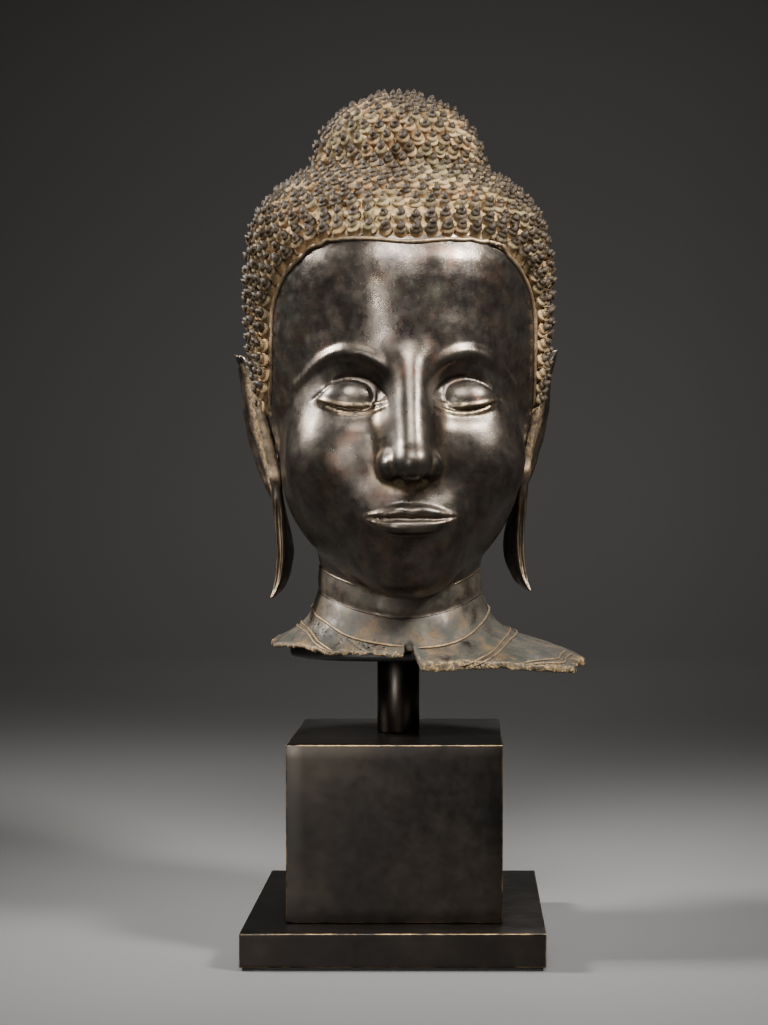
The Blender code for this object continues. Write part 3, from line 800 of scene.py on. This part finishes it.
def store(obj, name, values):
    """Keeps a value for each point of a mesh, for its material to read."""
    layer = obj.data.attributes.new(name, "FLOAT", "POINT")
    layer.data.foreach_set("value", np.asarray(values, np.float32))


def coordinates(obj):
    """The points of a piece's mesh, as rows (x, y, z)."""
    points = np.zeros(len(obj.data.vertices) * 3, np.float32)
    obj.data.vertices.foreach_get("co", points)
    return points.reshape(-1, 3).astype(float)


def unit(rows):
    """Each row scaled to a length of one."""
    return rows / np.maximum(np.linalg.norm(rows, axis=1, keepdims=True), 1e-9)


def head_shell():
    """The casting's skin, with what its material needs to know: hollows, ridges, hair and break."""
    axes, f, crust = head_field()
    obj = thinned(mesh_from("head_shell", *surface_of(axes, f)), 190000)
    points = coordinates(obj)
    steps = np.eye(3) * 0.8
    slope = [sampled(axes, f, points + step) - sampled(axes, f, points - step) for step in steps]
    normals = unit(np.stack(slope, axis=1))
    hollow, ridge = 0, 0
    for reach in (1.2, 2.5, 5.0):
        hollow = hollow + np.clip(1 - sampled(axes, f, points + normals * reach) / reach, 0, 1) / 3
        ridge = ridge + np.clip(1 + sampled(axes, f, points - normals * reach) / reach, 0, 1) / 3
    store(obj, "hollow", hollow)
    store(obj, "ridge", ridge)
    p, level = points.T, points[:, 2]
    ragged = grain(p, 7, 24)
    haired = np.clip(outside_window(p) - 1.6 + 0.5 * ragged, 0, 1) * (level > 66)
    haired = haired * (1 - beside_ear(p, 2 + ragged))
    proud = np.clip(sampled(axes, crust, points) + 0.8 + np.maximum(level - 190, 0), 0, 1)
    store(obj, "crust", haired * proud)
    store(obj, "flesh", np.where(level < 75, 1, np.clip(-outside_window(p) / 6, 0, 1)))
    angles, out, front = round_neck(p)
    edge = np.interp(np.degrees(angles), *zip(*BREAK))
    notch = np.exp(-(((np.degrees(angles) - NOTCH) / 5) ** 2))
    broken = np.clip((out - edge + 2.2) / 1.4, 0, 1) * (1 - notch)
    store(obj, "broken", np.where(level < shoulder(out, front) + 5, broken, 0))
    skin_end = shoulder(out, front) + 6 + 16 * np.clip(1 - out / 8, 0, 1)
    store(obj, "shoulder", np.clip((skin_end - level) / 6, 0, 1) * np.clip((out + 3) / 9, 0, 1))
    return obj


# Hems on the shoulders, as degrees from the front and distance out. Each is a pair of threads.
HEMS = [
    [(176, 27), (140, 25), (118, 25), (104, 24), (85, 21.5), (68, 21.3), (52, 24.8), (41, 28), (31, 31)],
    [(176, 24), (140, 22), (118, 21), (104, 20), (88, 17.8), (66, 18.6), (49, 22.6), (38.5, 25), (27, 28)],
    [(83, 56.5), (73, 54.5), (65, 56.5), (58.5, 50.5), (54, 46)],
    [(85, 52), (75, 50.5), (67.5, 51.5), (60, 46), (52, 42)],
    [(-176, 27), (-145, 23), (-120, 17), (-100, 13.6), (-73.6, 12.6), (-57, 16.6), (-44, 18.8)],
    [(-176, 24), (-145, 20), (-120, 14), (-100, 11), (-73.6, 10.8), (-56, 14.8), (-41.5, 18)],
]
# Where the neck's skin ends on the shoulders, broken by the notch in front.
NECK_EDGES = [
    [(-179, 5), (-120, 4), (-90, 4.2), (-75, 5), (-60, 5.6), (-44, 7.1), (-30, 7.5), (-15, 7.5), (-2, 7.9)],
    [(7.5, 8.8), (18.6, 9.3), (30.8, 9.4), (43.8, 8.6), (58.7, 6.9), (75.6, 5.4)]
    + [(95, 4.5), (120, 4), (179, 5)],
]


def over_shoulder(rows):
    """Points over the shoulders, from rows of degrees from the front and distance out."""
    angles, out = np.radians(rows[:, 0]), rows[:, 1]
    return round_axis(angles, neck_oval(angles) + out, shoulder(out, frontness(angles)))


def round_the_neck(level, start, end):
    """Points round the neck along one of its creases, from one direction to another."""
    angles = np.radians(np.linspace(start, end, 90))
    return round_axis(angles, neck_oval(angles), level - CREASE_DROP * frontness(angles))


def thread_routes():
    """The threads of wax laid on the model before casting: hems, creases and the hair's border.
    Each is its points, its radius and how much earth clings to it."""
    hems = [(over_shoulder(curve(rows, 90)), 0.75, 0.35) for rows in HEMS]
    edges = [(over_shoulder(curve(rows, 90)), 0.9, 0.3) for rows in NECK_EDGES]
    creases = [(round_the_neck(CREASES[1] - 1.6, -180, 180), 0.4, 0.05)]
    creases += [(round_the_neck(CREASES[2] - 1.6, side * 40, side * 150), 0.55, 0.1) for side in (-1, 1)]
    border = hairline()
    inwards = unit((border - (0, border[:, 1].mean(), 190)) * (1, 0, 1))
    return hems + edges + creases + [(border - 1.1 * inwards, 1.3, 0.25)]


def wax_threads(name, shell):
    """Round threads half sunk in the casting's skin, drawn out thin at their ends."""
    tree = BVHTree.FromPolygons(coordinates(shell).tolist(), [p.vertices[:] for p in shell.data.polygons])
    points, faces, earth = [], [], []
    sides = 8
    turns = np.arange(sides) * 2 * math.pi / sides
    for route, thick, clinging in thread_routes():
        found = [tree.find_nearest(Vector(p)) for p in route]
        line = np.array([hit + 0.35 * thick * normal for hit, normal, _, _ in found])
        for _ in range(4):
            line[1:-1] = (line[:-2] + 2 * line[1:-1] + line[2:]) / 4
        along = unit(np.gradient(line, axis=0))
        across = unit(np.cross(along, np.array([tuple(normal) for _, normal, _, _ in found])))
        up = np.cross(across, along)
        share = np.minimum(np.arange(len(line)), np.arange(len(line))[::-1]) / 6
        radius = thick * np.clip(share, 0.05, 1) ** 0.5 * (1 + 0.18 * grain(line.T, 4, 25))
        start = sum(len(p) for p in points)
        rings = (
            line[:, None, :]
            + radius[:, None, None] * np.cos(turns)[None, :, None] * across[:, None, :]
            + radius[:, None, None] * np.sin(turns)[None, :, None] * up[:, None, :]
        )
        points.append(rings.reshape(-1, 3))
        earth.append(np.full(len(points[-1]), float(clinging)))
        for i, j in itertools.product(range(len(line) - 1), range(sides)):
            a, b = start + i * sides + j, start + i * sides + (j + 1) % sides
            faces.append((a, a + sides, b + sides, b))
    obj = mesh_from(name, np.concatenate(points), faces)
    earth = np.concatenate(earth)
    store(obj, "hollow", 0 * earth)
    store(obj, "ridge", 0.1 + 2 * earth)
    store(obj, "crust", earth)
    return obj


def buried_bronze():
    """Bronze after centuries in the ground: near black, waxed to a gloss on the flesh,
    with red and green minerals in patches, sandy earth in every hollow, raw metal on ridges,
    and painted shade that darkens it from the eyes down, fading out over the brows."""
    material, tree, shader, where = new_finish("buried_bronze")
    made = {"height": add(tree, "SeparateXYZ", "Z", {}, {"Vector": where})}
    for name in ("hollow", "ridge", "crust", "broken", "shoulder", "flesh"):
        made[name] = add(tree, "Attribute", "Fac", {"attribute_name": name}, {})

    # The size of each pattern's features in millimetres, its detail and its roughness.
    patterns = {
        "brown": (14, 12.0, 0.74),
        "fine_red": (15, 6.0, 0.7),
        "wide_red": (48, 4.0, 0.55),
        "fine_green": (11, 6.0, 0.7),
        "wide_green": (39, 4.0, 0.55),
        "fog": (13, 6.0, 0.65),
        "stain": (16, 9.0, 0.72),
        "rubbing": (5, 5.0, 0.7),
        "clods": (2.6, 5.0, 0.7),
        "chips": (2.2, 5.0, 0.7),
        "soil": (3.4, 6.0, 0.7),
        "wax": (8, 3.0, 0.55),
        "pits": (1.1, 3.0, 0.55),
        "grit": (1.8, 6.0, 0.75),
    }
    for name, (size, detail, rough) in patterns.items():
        feeds = {"Vector": where, "Scale": per(size), "Detail": detail, "Roughness": rough}
        made[name] = add(tree, "TexNoise", "Fac", {}, feeds)

    # Where each colour lies along a pattern, from its lowest value to its highest.
    ramps = {
        "brown": [(0.3, "2C2926"), (0.46, "413B36"), (0.62, "564E44"), (0.78, "42403C")],
        "stain": [(0.36, "1B1D17"), (0.48, "2B2B22"), (0.57, "463A28"), (0.64, "5E4829"), (0.72, "22201B")],
        "soil": [(0.3, "3A2F22"), (0.44, "6E5A3F"), (0.58, "9E8259"), (0.72, "8C6547")],
    }
    for name, stops in ramps.items():
        made[name] = add(tree, "ValToRGB", "Color", {"stops": stops}, {"Fac": made[name]})

    # What is measured, the range that counts, and the range it becomes. Heights are in metres.
    ranges = {
        "fine_red": ("fine_red", 0.52, 0.66, 0.0, 1.0),
        "wide_red": ("wide_red", 0.44, 0.56, 0.0, 1.0),
        "fine_green": ("fine_green", 0.5, 0.66, 0.0, 1.0),
        "wide_green": ("wide_green", 0.5, 0.6, 0.0, 1.0),
        "fog": ("fog", 0.3, 0.55, 0.0, 1.0),
        "sharp": ("ridge", 0.2, 0.55, 0.0, 1.0),
        "rubbing": ("rubbing", 0.35, 0.6, 0.0, 1.0),
        "off_the_flange": ("shoulder", 0.1, 0.7, 1.0, 0.0),
        "filled": ("hollow", 0.25, 0.6, 0.0, 1.0),
        "filled_flesh": ("hollow", 0.5, 0.95, 0.0, 0.45),
        "clods": ("clods", 0.3, 0.55, 0.0, 1.0),
        "chips": ("chips", 0.46, 0.6, 0.05, 1.0),
        # Painted shade: full below 0.33 m, about the eyes, and gone above 0.375 m, over the brows.
        "under_brow": ("height", 0.33, 0.375, 0.3, 0.0),
        "least_gloss": ("height", 0.335, 0.385, 0.26, 0.18),
        "wax": ("wax", 0.3, 0.7, 0.0, 0.14),
        "pits": ("pits", 0.32, 0.5, 0.0, 1.0),
    }
    for name, (measured, low, high, start, end) in ranges.items():
        feeds = {"Value": made[measured], "From Min": low, "From Max": high, "To Min": start, "To Max": end}
        made[name] = add(tree, "MapRange", "Result", {}, feeds)

    feeds = {0: made["flesh"], 2: made["filled"], 3: made["filled_flesh"]}
    made["packed"] = add(tree, "Mix", "Result", {"data_type": "FLOAT"}, feeds)
    # How much of each mineral, of rubbed metal and of earth there is, and how matt that leaves it.
    sums = [
        ("red", "MULTIPLY", "fine_red", "wide_red"),
        ("some_red", "MULTIPLY", "red", 0.5),
        ("green", "MULTIPLY", "fine_green", "wide_green"),
        ("some_green", "MULTIPLY", "green", 0.6),
        ("pale", "MULTIPLY", "shoulder", "fog"),
        ("most_pale", "MULTIPLY", "pale", 0.9),
        ("bright", "MULTIPLY", "sharp", "rubbing"),
        ("bright", "MULTIPLY", "bright", "off_the_flange"),
        ("some_bright", "MULTIPLY", "bright", 0.55),
        ("packed", "MULTIPLY", "packed", "clods"),
        ("crusted", "MULTIPLY", "crust", 0.95),
        ("torn", "MULTIPLY", "broken", "chips"),
        ("stuck", "MAXIMUM", "crusted", "torn"),
        ("earth", "MAXIMUM", "packed", "stuck"),
        ("gloss", "ADD", "least_gloss", "wax"),
        ("matt_pale", "MULTIPLY", "pale", 0.75),
        ("matt", "MAXIMUM", "earth", "matt_pale"),
        ("dull", "MAXIMUM", "earth", "pale"),
    ]
    for name, operation, a, b in sums:
        settings = {"operation": operation, "use_clamp": operation == "MULTIPLY"}
        made[name] = add(tree, "Math", "Value", settings, {0: made[a], 1: made.get(b, b)})

    # The colours from the skin outwards, each with how much of it lies over those before it.
    layers = [
        ("some_red", linear("5E4133")),
        ("some_green", linear("4E5447")),
        ("most_pale", made["stain"]),
        ("some_bright", linear("9C8363")),
        ("earth", made["soil"]),
        # Painted shade that darkens the casting from the eyes down, over every colour before it.
        ("under_brow", linear("1F1B17")),
    ]
    colour = made["brown"]
    for share, layer in layers:
        colour = add(tree, "Mix", "Result", {"data_type": "RGBA"}, {0: made[share], 6: colour, 7: layer})
    rough = add(tree, "Mix", "Result", {"data_type": "FLOAT"}, {0: made["matt"], 2: made["gloss"], 3: 0.85})
    metal = add(tree, "Mix", "Result", {"data_type": "FLOAT"}, {0: made["dull"], 2: 0.9, 3: 0.05})
    feeds = {"Height": made["pits"], "Strength": 0.16, "Distance": 0.15 * MM}
    fine = add(tree, "Bump", "Normal", {}, feeds)
    feeds = {"Value": made["earth"], "From Min": 0.0, "From Max": 1.0, "To Min": 0.05, "To Max": 0.9}
    gritty = add(tree, "MapRange", "Result", {}, feeds)
    feeds = {"Height": made["grit"], "Strength": gritty, "Distance": 0.8 * MM, "Normal": fine}
    raised = add(tree, "Bump", "Normal", {}, feeds)
    feed(tree, shader, {"Base Color": colour, "Roughness": rough, "Metallic": metal, "Normal": raised})
    feed(tree, shader, {"Specular IOR Level": 0.2})
    return material


casting_bronze = buried_bronze()
shell = head_shell()
threads = wax_threads("wax_threads", shell)
for piece in (shell, threads):
    piece.data.transform(head_place)
    piece.data.update()
    show(piece, casting_bronze, "head_bronze", "head_casting")


# Ears
# Long ears with stretched lobes, cast with the head. The rim is pointed above, and the lobe is
# a strap with a slit along its front edge that flicks outwards at its tip.


def ear_form(name, side):
    """One ear, lofted down through its sections: rim, hollow, inner ridge and slit lobe."""
    rows = curve(EAR, 90)
    turns = np.linspace(0, 2 * math.pi, 64, endpoint=False)
    lengthwise, thickness = np.cos(turns), np.sin(turns)
    square = 2 / 3.6
    deep = 0.5 - 0.5 * np.sign(lengthwise) * np.abs(lengthwise) ** square
    swell = np.sign(thickness) * np.abs(thickness) ** square
    rings, hollows = [], []
    for level, out_front, out_back, front, back, thick in rows:
        upper = np.clip((level - 96) / 14, 0, 1) * np.clip((183 - level) / 12, 0, 1)
        lobe = np.clip((96 - level) / 10, 0, 1) * np.clip((level - 42) / 10, 0, 1)
        outer = np.clip(swell * 3, 0, 1)
        shell_like = upper * np.exp(-(((deep - 0.42) / 0.27) ** 4))
        inner_ridge = upper * np.exp(-(((deep - 0.72 + 0.3 * (level - 140) / 90) / 0.07) ** 2))
        gutter = upper * np.exp(-(((deep - 0.84) / 0.05) ** 2))
        slit = lobe * (deep < 0.25) * np.exp(-((swell / 0.22) ** 2))
        knot = np.exp(-(((level - 110) / 4) ** 2)) * (deep < 0.3)
        channel = lobe * outer * np.exp(-(((deep - 0.45) / 0.16) ** 2))
        dent = outer * (5.2 * shell_like - 3.6 * inner_ridge + 1.6 * gutter) + 1.3 * channel
        out = out_front + (out_back - out_front) * deep - thick / 2 * (1 - swell) - dent + 0.6 * knot * swell
        y = front + (back - front) * deep + 4 * slit - 2.2 * knot
        rings.append(np.stack([side * out, y, np.full(len(turns), level + side * EAR_LIFT)], axis=1))
        sandy = 0.45 * upper * (deep < 0.12)
        hollows.append(np.clip(dent / 4.5, 0, 1) + sandy - 0.3 * slit)
    points = np.concatenate(rings)
    ragged = 0.25 * np.stack([grain(points.T, 5, s) for s in (31, 32, 33)], axis=1)
    if side < 0:
        ragged[points[:, 2] > 177] *= 9
    points = points + ragged
    obj = rings_mesh(name, np.split(points, len(rings)))
    hollows = np.concatenate(hollows)
    store(obj, "hollow", np.clip(0.12 + 0.6 * hollows, 0, 1))
    store(obj, "ridge", np.clip(0.35 - hollows, 0, 1))
    obj.data.transform(head_place)
    bm = bmesh.new()
    bm.from_mesh(obj.data)
    bmesh.ops.triangulate(bm, faces=[face for face in bm.faces if len(face.verts) > 4])
    bmesh.ops.recalc_face_normals(bm, faces=bm.faces)
    bm.to_mesh(obj.data)
    bm.free()
    return obj


for name, side in (("ear_on_the_left", -1), ("ear_on_the_right", 1)):
    show(ear_form(name, side), casting_bronze, "head_bronze", "head_casting")


# Curls
# Rows of small snail-shell curls, rolled from wax thread and set one by one on the wax head
# before casting. Two rows follow the hairline, and the rest run round the skull up to the top.
# Earth fills the valleys between them, painted darker there as shade, and only the tips are rubbed dark.

CURL_PITCH = 8.9
CURL_HEIGHT = 8.7
# The two rows along the hairline stand this far from it, and the free curls keep this far off.
EDGE_ROWS = (5.2, 13.6)
FREE_FROM = 17.5
# The levels where the knob starts, and above which its top curls stay as they are set.
KNOB_FOOT, KNOB_TOP = 268, 332


def scalp_ring(level, shift):
    """Evenly spaced points round the scalp at one level."""
    angles = np.linspace(0, 2 * math.pi, 721)
    side, front, back = scalp_sizes(level)
    s, c = np.sin(angles), np.cos(angles)
    power = 2 / SCALP_SQUARENESS
    x = side * np.sign(s) * np.abs(s) ** power
    y = HAIR_Y - np.where(c > 0, front, back) * np.sign(c) * np.abs(c) ** power
    along = np.concatenate([[0], np.cumsum(np.hypot(np.diff(x), np.diff(y)))])
    count = max(3, round(along[-1] / CURL_PITCH))
    pick = (np.arange(count) + shift) % count / count * along[-1]
    return np.stack([np.interp(pick, along, x), np.interp(pick, along, y), np.full(count, level)], axis=1)


def evenly(line, shift):
    """Points a curl's pitch apart along a line of points."""
    along = np.concatenate([[0], np.cumsum(np.linalg.norm(np.diff(line, axis=0), axis=1))])
    count = round(along[-1] / CURL_PITCH)
    pick = (np.arange(count) + 0.5 * shift) / count * along[-1]
    return np.stack([np.interp(pick, along, line[:, n]) for n in range(3)], axis=1)


def hairline_row(distance, shift):
    """A row of curls that keeps a distance from the hairline, along the scalp."""
    line = hairline()
    away = unit(np.cross(scalp_normals(line), np.gradient(line, axis=0)))
    away *= np.sign((away * (line - (0, 0, 190))).sum(1) + 0.8 * away[:, 1] * 60)[:, None]
    return evenly(on_scalp(line + distance * away), shift)


def curl_places():
    """Where every curl stands on the scalp."""
    fixed = np.concatenate([hairline_row(distance, shift) for shift, distance in enumerate(EDGE_ROWS)])
    fixed = fixed[~beside_ear(fixed.T, 3)]
    fine = np.linspace(HAIR_LEVELS[0] + 3.5, HAIR_LEVELS[-1] - 0.5, 800)
    profile = eased(HAIR_LEVELS, HAIR_SIDE, fine)
    path = np.concatenate([[0], np.cumsum(np.hypot(np.diff(fine), np.diff(profile)))])
    rows = round(path[-1] / (0.93 * CURL_PITCH))
    levels = np.interp(np.linspace(0, path[-1], rows + 1), path, fine)
    rings = [scalp_ring(level, 0.5 * (i % 2)) for i, level in enumerate(levels[:-1])]
    free = np.concatenate(rings + [np.array([[0, HAIR_Y, HAIR_LEVELS[-1]]])])
    free = free[(outside_window(free.T) > 0) & ~beside_ear(free.T, 3)]
    line = hairline()
    edge, taken = KDTree(len(line)), KDTree(len(fixed))
    for tree, points in ((edge, line), (taken, fixed)):
        for i, p in enumerate(points):
            tree.insert(p, i)
        tree.balance()
    free = [p for p in free if edge.find(p)[2] > FREE_FROM and taken.find(p)[2] > 0.62 * CURL_PITCH]
    return relaxed(fixed, np.array(free))


def relaxed(fixed, free):
    """The free curls pushed apart a little, so that rows that meet close up without gaps."""
    for _ in range(10):
        every = np.concatenate([fixed, free])
        apart = free[:, None, :] - every[None, :, :]
        gap = np.linalg.norm(apart, axis=2)
        push = np.where((gap > 1e-6) & (gap < CURL_PITCH), (CURL_PITCH - gap) / np.maximum(gap, 1e-6), 0)
        moved = free + 0.22 * (apart * push[:, :, None]).sum(1)
        free = np.where((free[:, 2] < KNOB_TOP)[:, None], on_scalp(moved), free)
    return np.concatenate([fixed, free])


def on_scalp(points):
    """Points brought back to the scalp, along the line from its axis."""
    x, y, z = points.T
    share = scalp_share(points.T)[0]
    return np.stack([x / share, HAIR_Y + (y - HAIR_Y) / share, z], axis=1)


def scalp_normals(points):
    """Directions that point straight out of the scalp, one for each point."""
    slope = [scalp((points + step).T) - scalp((points - step).T) for step in np.eye(3) * 0.5]
    return unit(np.stack(slope, axis=1))


def one_curl():
    """One curl a unit high: a thread wound up a cone, its end tucked in as a button on top."""
    around, swell = ((11, (0.0, 0.75, 1.0, 0.8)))
    strips, steps = len(swell), round(2.5 * around)
    tall = steps / around + (strips - 1) / strips
    points = [tuple(point) for point in circle(1.04, -0.3, around)]
    heights = [0.0] * around
    for strip, bulge in enumerate(swell):
        for j in range(steps + 1):
            climb = (j / around + strip / strips) / tall
            radius = 0.9 - 0.74 * climb + 0.23 * bulge * (1 - 0.45 * climb)
            angle = 2 * math.pi * j / around
            points.append((radius * math.cos(angle), radius * math.sin(angle), 0.97 * climb))
            # The height kept for each point is lower in the grooves between the coils, so that these take
            # more painted shade and fewer dark tips.
            heights.append(climb + 0.3 * (bulge - 0.6))
    points.append((0.0, 0.0, 1.08))
    heights.append(1.0)

    def at_step(strip, j):
        return around + strip * (steps + 1) + j

    faces = []
    for j in range(around):
        faces.append((j, (j + 1) % around, at_step(0, j + 1), at_step(0, j)))
    for strip in range(strips):
        for j in range(steps):
            up = (strip + 1, j) if strip + 1 < strips else (0, j + around)
            if up[1] + 1 <= steps:
                low, high = at_step(strip, j), at_step(*up)
                faces.append((low, low + 1, high + 1, high))
    start = [0] + [at_step(strip, 0) for strip in range(strips)] + [at_step(0, around)]
    faces += [(start[0], start[i + 1], start[i]) for i in range(1, len(start) - 1)]
    rim = [at_step(strips - 1, j) for j in range(steps - around, steps + 1)]
    rim += [at_step(strip, steps) for strip in range(strips - 2, -1, -1)]
    faces += [(a, b, len(points) - 1) for a, b in zip(rim, rim[1:] + rim[:1])]
    triangles = []
    for face in faces:
        triangles += [(face[0], face[i], face[i + 1]) for i in range(1, len(face) - 1)]
    return np.array(points), np.array(triangles), np.array(heights)


def curl_piece(name, places, seed):
    """Many curls in one mesh, each a little different in size, lean and wear."""
    shape, faces, heights = one_curl()
    rng = np.random.default_rng(seed)
    normals = scalp_normals(places)
    beside_face = np.clip((np.abs(places[:, 0]) - 60) / 20, 0, 1) * np.clip((10 - places[:, 1]) / 30, 0, 1)
    facing = unit(normals + beside_face[:, None] * (0, -0.55, 0) + (0, 0, 0.42))
    sideways = unit(np.cross(facing, rng.normal(size=normals.shape)))
    across = np.cross(facing, sideways)
    lean = unit(facing + 0.08 * rng.normal(size=normals.shape) + (0, 0, 0.15))
    width = 0.5 * CURL_PITCH * rng.uniform(0.96, 1.1, len(places))
    tall = CURL_HEIGHT * rng.uniform(0.85, 1.08, len(places))
    points = (
        (places - SCALP_SINK * normals)[:, None, :]
        + shape[None, :, :1] * (sideways * width[:, None])[:, None, :]
        + shape[None, :, 1:2] * (across * width[:, None])[:, None, :]
        + shape[None, :, 2:] * (lean * tall[:, None])[:, None, :]
    )
    points = points.reshape(-1, 3)
    points += 0.22 * np.stack([grain(points.T, 2.6, seed + s) for s in (1, 2, 3)], axis=1)
    faces = faces[None, :, :] + (np.arange(len(places)) * len(shape))[:, None, None]
    obj = mesh_from(name, points, faces.reshape(-1, 3))
    store(obj, "climb", np.tile(heights, len(places)))
    store(obj, "chance", np.repeat(rng.random(len(places)), len(shape)))
    obj.data.transform(head_place)
    return obj


def earthy_curls():
    """The same bronze under a crust of burial earth: sandy and matt between the curls, brown on the coils,
    with painted shade darkening the valleys and the lowest coils, dark where hands have rubbed the tips."""
    material, tree, shader, where = new_finish("earth_crusted_bronze")
    climb = add(tree, "Attribute", "Fac", {"attribute_name": "climb"}, {})
    chance = add(tree, "Attribute", "Fac", {"attribute_name": "chance"}, {})
    blotch = add(tree, "TexNoise", "Fac", {}, {"Vector": where, "Scale": per(26), "Detail": 5.0})
    patch = add(tree, "TexNoise", "Fac", {}, {"Vector": where, "Scale": per(42), "Detail": 3.0})
    feeds = {"Vector": where, "Scale": per(1.7), "Detail": 5.0, "Roughness": 0.7}
    speck = add(tree, "TexNoise", "Fac", {}, feeds)
    stops = [(0.3, "625840"), (0.45, "8B7A5A"), (0.58, "8A6C4B"), (0.7, "9E8D6A")]
    sand = add(tree, "ValToRGB", "Color", {"stops": stops}, {"Fac": blotch})
    # Painted shade: the lowest coils and the valleys between the curls are darkened towards 5A4028.
    feeds = {"Value": climb, "From Min": -0.1, "From Max": 0.4, "To Min": 0.75, "To Max": 0}
    depth = add(tree, "MapRange", "Result", {}, feeds)
    earth = add(tree, "Mix", "Result", {"data_type": "RGBA"}, {0: depth, 6: sand, 7: linear("5A4028")})
    stops = [(0.35, "16110C"), (0.52, "2C2319"), (0.75, "52442F")]
    dark = add(tree, "ValToRGB", "Color", {"stops": stops}, {"Fac": speck})
    level = climb
    sums = [(patch, 1.6, -0.75), (chance, 0.3, 0.0), (speck, 0.9, -0.45)]
    for value, share, shift in sums:
        part = add(tree, "Math", "Value", {"operation": "MULTIPLY_ADD"}, {0: value, 1: share, 2: shift})
        level = add(tree, "Math", "Value", {"operation": "ADD"}, {0: level, 1: part})
    tip = add(tree, "MapRange", "Result", {}, {"Value": level, "From Min": 0.42, "From Max": 0.82})
    colour = add(tree, "Mix", "Result", {"data_type": "RGBA"}, {0: tip, 6: earth, 7: dark})
    rough = add(tree, "Mix", "Result", {"data_type": "FLOAT"}, {0: tip, 2: 0.92, 3: 0.5})
    metal = add(tree, "Mix", "Result", {"data_type": "FLOAT"}, {0: tip, 2: 0.0, 3: 0.08})
    raised = add(tree, "Bump", "Normal", {}, {"Height": speck, "Strength": 0.6, "Distance": 0.5 * MM})
    feed(tree, shader, {"Base Color": colour, "Roughness": rough, "Metallic": metal, "Normal": raised})
    feed(tree, shader, {"Specular IOR Level": 0.15})
    return material


curl_bronze = earthy_curls()
places = curl_places()
knob = places[:, 2] > KNOB_FOOT
in_front = (places[:, 1] < HAIR_Y) & ~knob
groups = (("curls_of_the_knob", knob), ("curls_in_front", in_front), ("curls_behind", ~in_front & ~knob))
for seed, (name, chosen) in zip((41, 51, 61), groups):
    show(curl_piece(name, places[chosen], seed), curl_bronze, "head_bronze", "head_casting")


# Studio
# A plain floor that sweeps up into a wall all round, a small soft light high on each side and a
# large one in front, and the photograph's view.

PHOTO_WIDTH, PHOTO_HEIGHT = 768, 1025
FOCAL_PIXELS = 1792.0
CENTRE_PIXEL = (465.0, 500.0)
CAMERA_PLACE = (0.0403, -1.084, 0.263)
SENSOR = 36.0


def bowl():
    """A round floor that bends up into a wall all round, in one sheet."""
    flat, bend, wall, sides = 2.0, 1.0, 3.4, 96
    arc = [(flat + bend * math.sin(a), bend - bend * math.cos(a)) for a in np.linspace(0, math.pi / 2, 16)]
    profile = [(0.02, 0.0)] + arc + [(flat + bend, wall)]
    points = np.concatenate([circle(radius, height, sides) for radius, height in profile])
    mesh = bpy.data.meshes.new("studio_bowl")
    mesh.from_pydata(points.tolist(), [], [tuple(range(sides))] + quads_between(len(profile), sides))
    return new_object("studio_bowl", mesh)


backdrop = bpy.data.materials.new("painted_backdrop")
backdrop.use_nodes = True
paint = {"Base Color": linear("545250"), "Roughness": 0.9}
feed(backdrop.node_tree, backdrop.node_tree.nodes["Principled BSDF"], paint)
floor = bowl()
floor.data.materials.append(backdrop)


def soft_light(name, place, target, size, power, spread):
    """A rectangular light box, aimed at a target."""
    light = bpy.data.lights.new(name, "AREA")
    light.shape = "RECTANGLE"
    light.size, light.size_y = size
    light.energy = power
    light.spread = math.radians(spread)
    obj = bpy.data.objects.new(name, light)
    bpy.context.scene.collection.objects.link(obj)
    obj.location = place
    obj.rotation_euler = (Vector(target) - Vector(place)).to_track_quat("-Z", "Y").to_euler()


# Each light's place, what it faces, its width and height in metres, its watts and its spread.
FACE_MIDDLE, STAND_MIDDLE, BACK_WALL = (0, 0, 0.32), (0, 0, 0.2), (0, 2.6, 0.35)
LIGHTS = {
    "left_box": ((-1.15, 0.0, 1.08), FACE_MIDDLE, (0.3, 0.3), 5.2, 42),
    "right_box": ((0.88, -0.58, 1.1), FACE_MIDDLE, (0.3, 0.3), 4.2, 42),
    "front_box": ((0.0, -1.15, 1.4), FACE_MIDDLE, (1.0, 0.7), 5.6, 38),
    "back_box": ((0.2, 1.2, 1.5), FACE_MIDDLE, (0.7, 0.5), 0.6, 36),
    "floor_box": ((0, 1.0, 1.6), BACK_WALL, (1.2, 0.4), 9, 110),
    "strip_box": ((-0.34, -1.05, 0.3), STAND_MIDDLE, (0.04, 0.5), 0.9, 60),
}
for name, light in LIGHTS.items():
    soft_light(name, *light)

world = bpy.data.worlds.new("studio_air")
world.use_nodes = True
world.node_tree.nodes["Background"].inputs["Color"].default_value = linear("8F9296")
world.node_tree.nodes["Background"].inputs["Strength"].default_value = 0.18
bpy.context.scene.world = world

lens = bpy.data.cameras.new("photo_view")
lens.sensor_fit = "VERTICAL"
lens.sensor_height = SENSOR
lens.lens = FOCAL_PIXELS / PHOTO_HEIGHT * SENSOR
lens.shift_x = (PHOTO_WIDTH / 2 - CENTRE_PIXEL[0]) / PHOTO_HEIGHT
lens.shift_y = (CENTRE_PIXEL[1] - PHOTO_HEIGHT / 2) / PHOTO_HEIGHT
camera = bpy.data.objects.new("photo_view", lens)
bpy.context.scene.collection.objects.link(camera)
camera.location = CAMERA_PLACE
camera.rotation_euler = (math.pi / 2, 0, 0)
bpy.context.scene.camera = camera
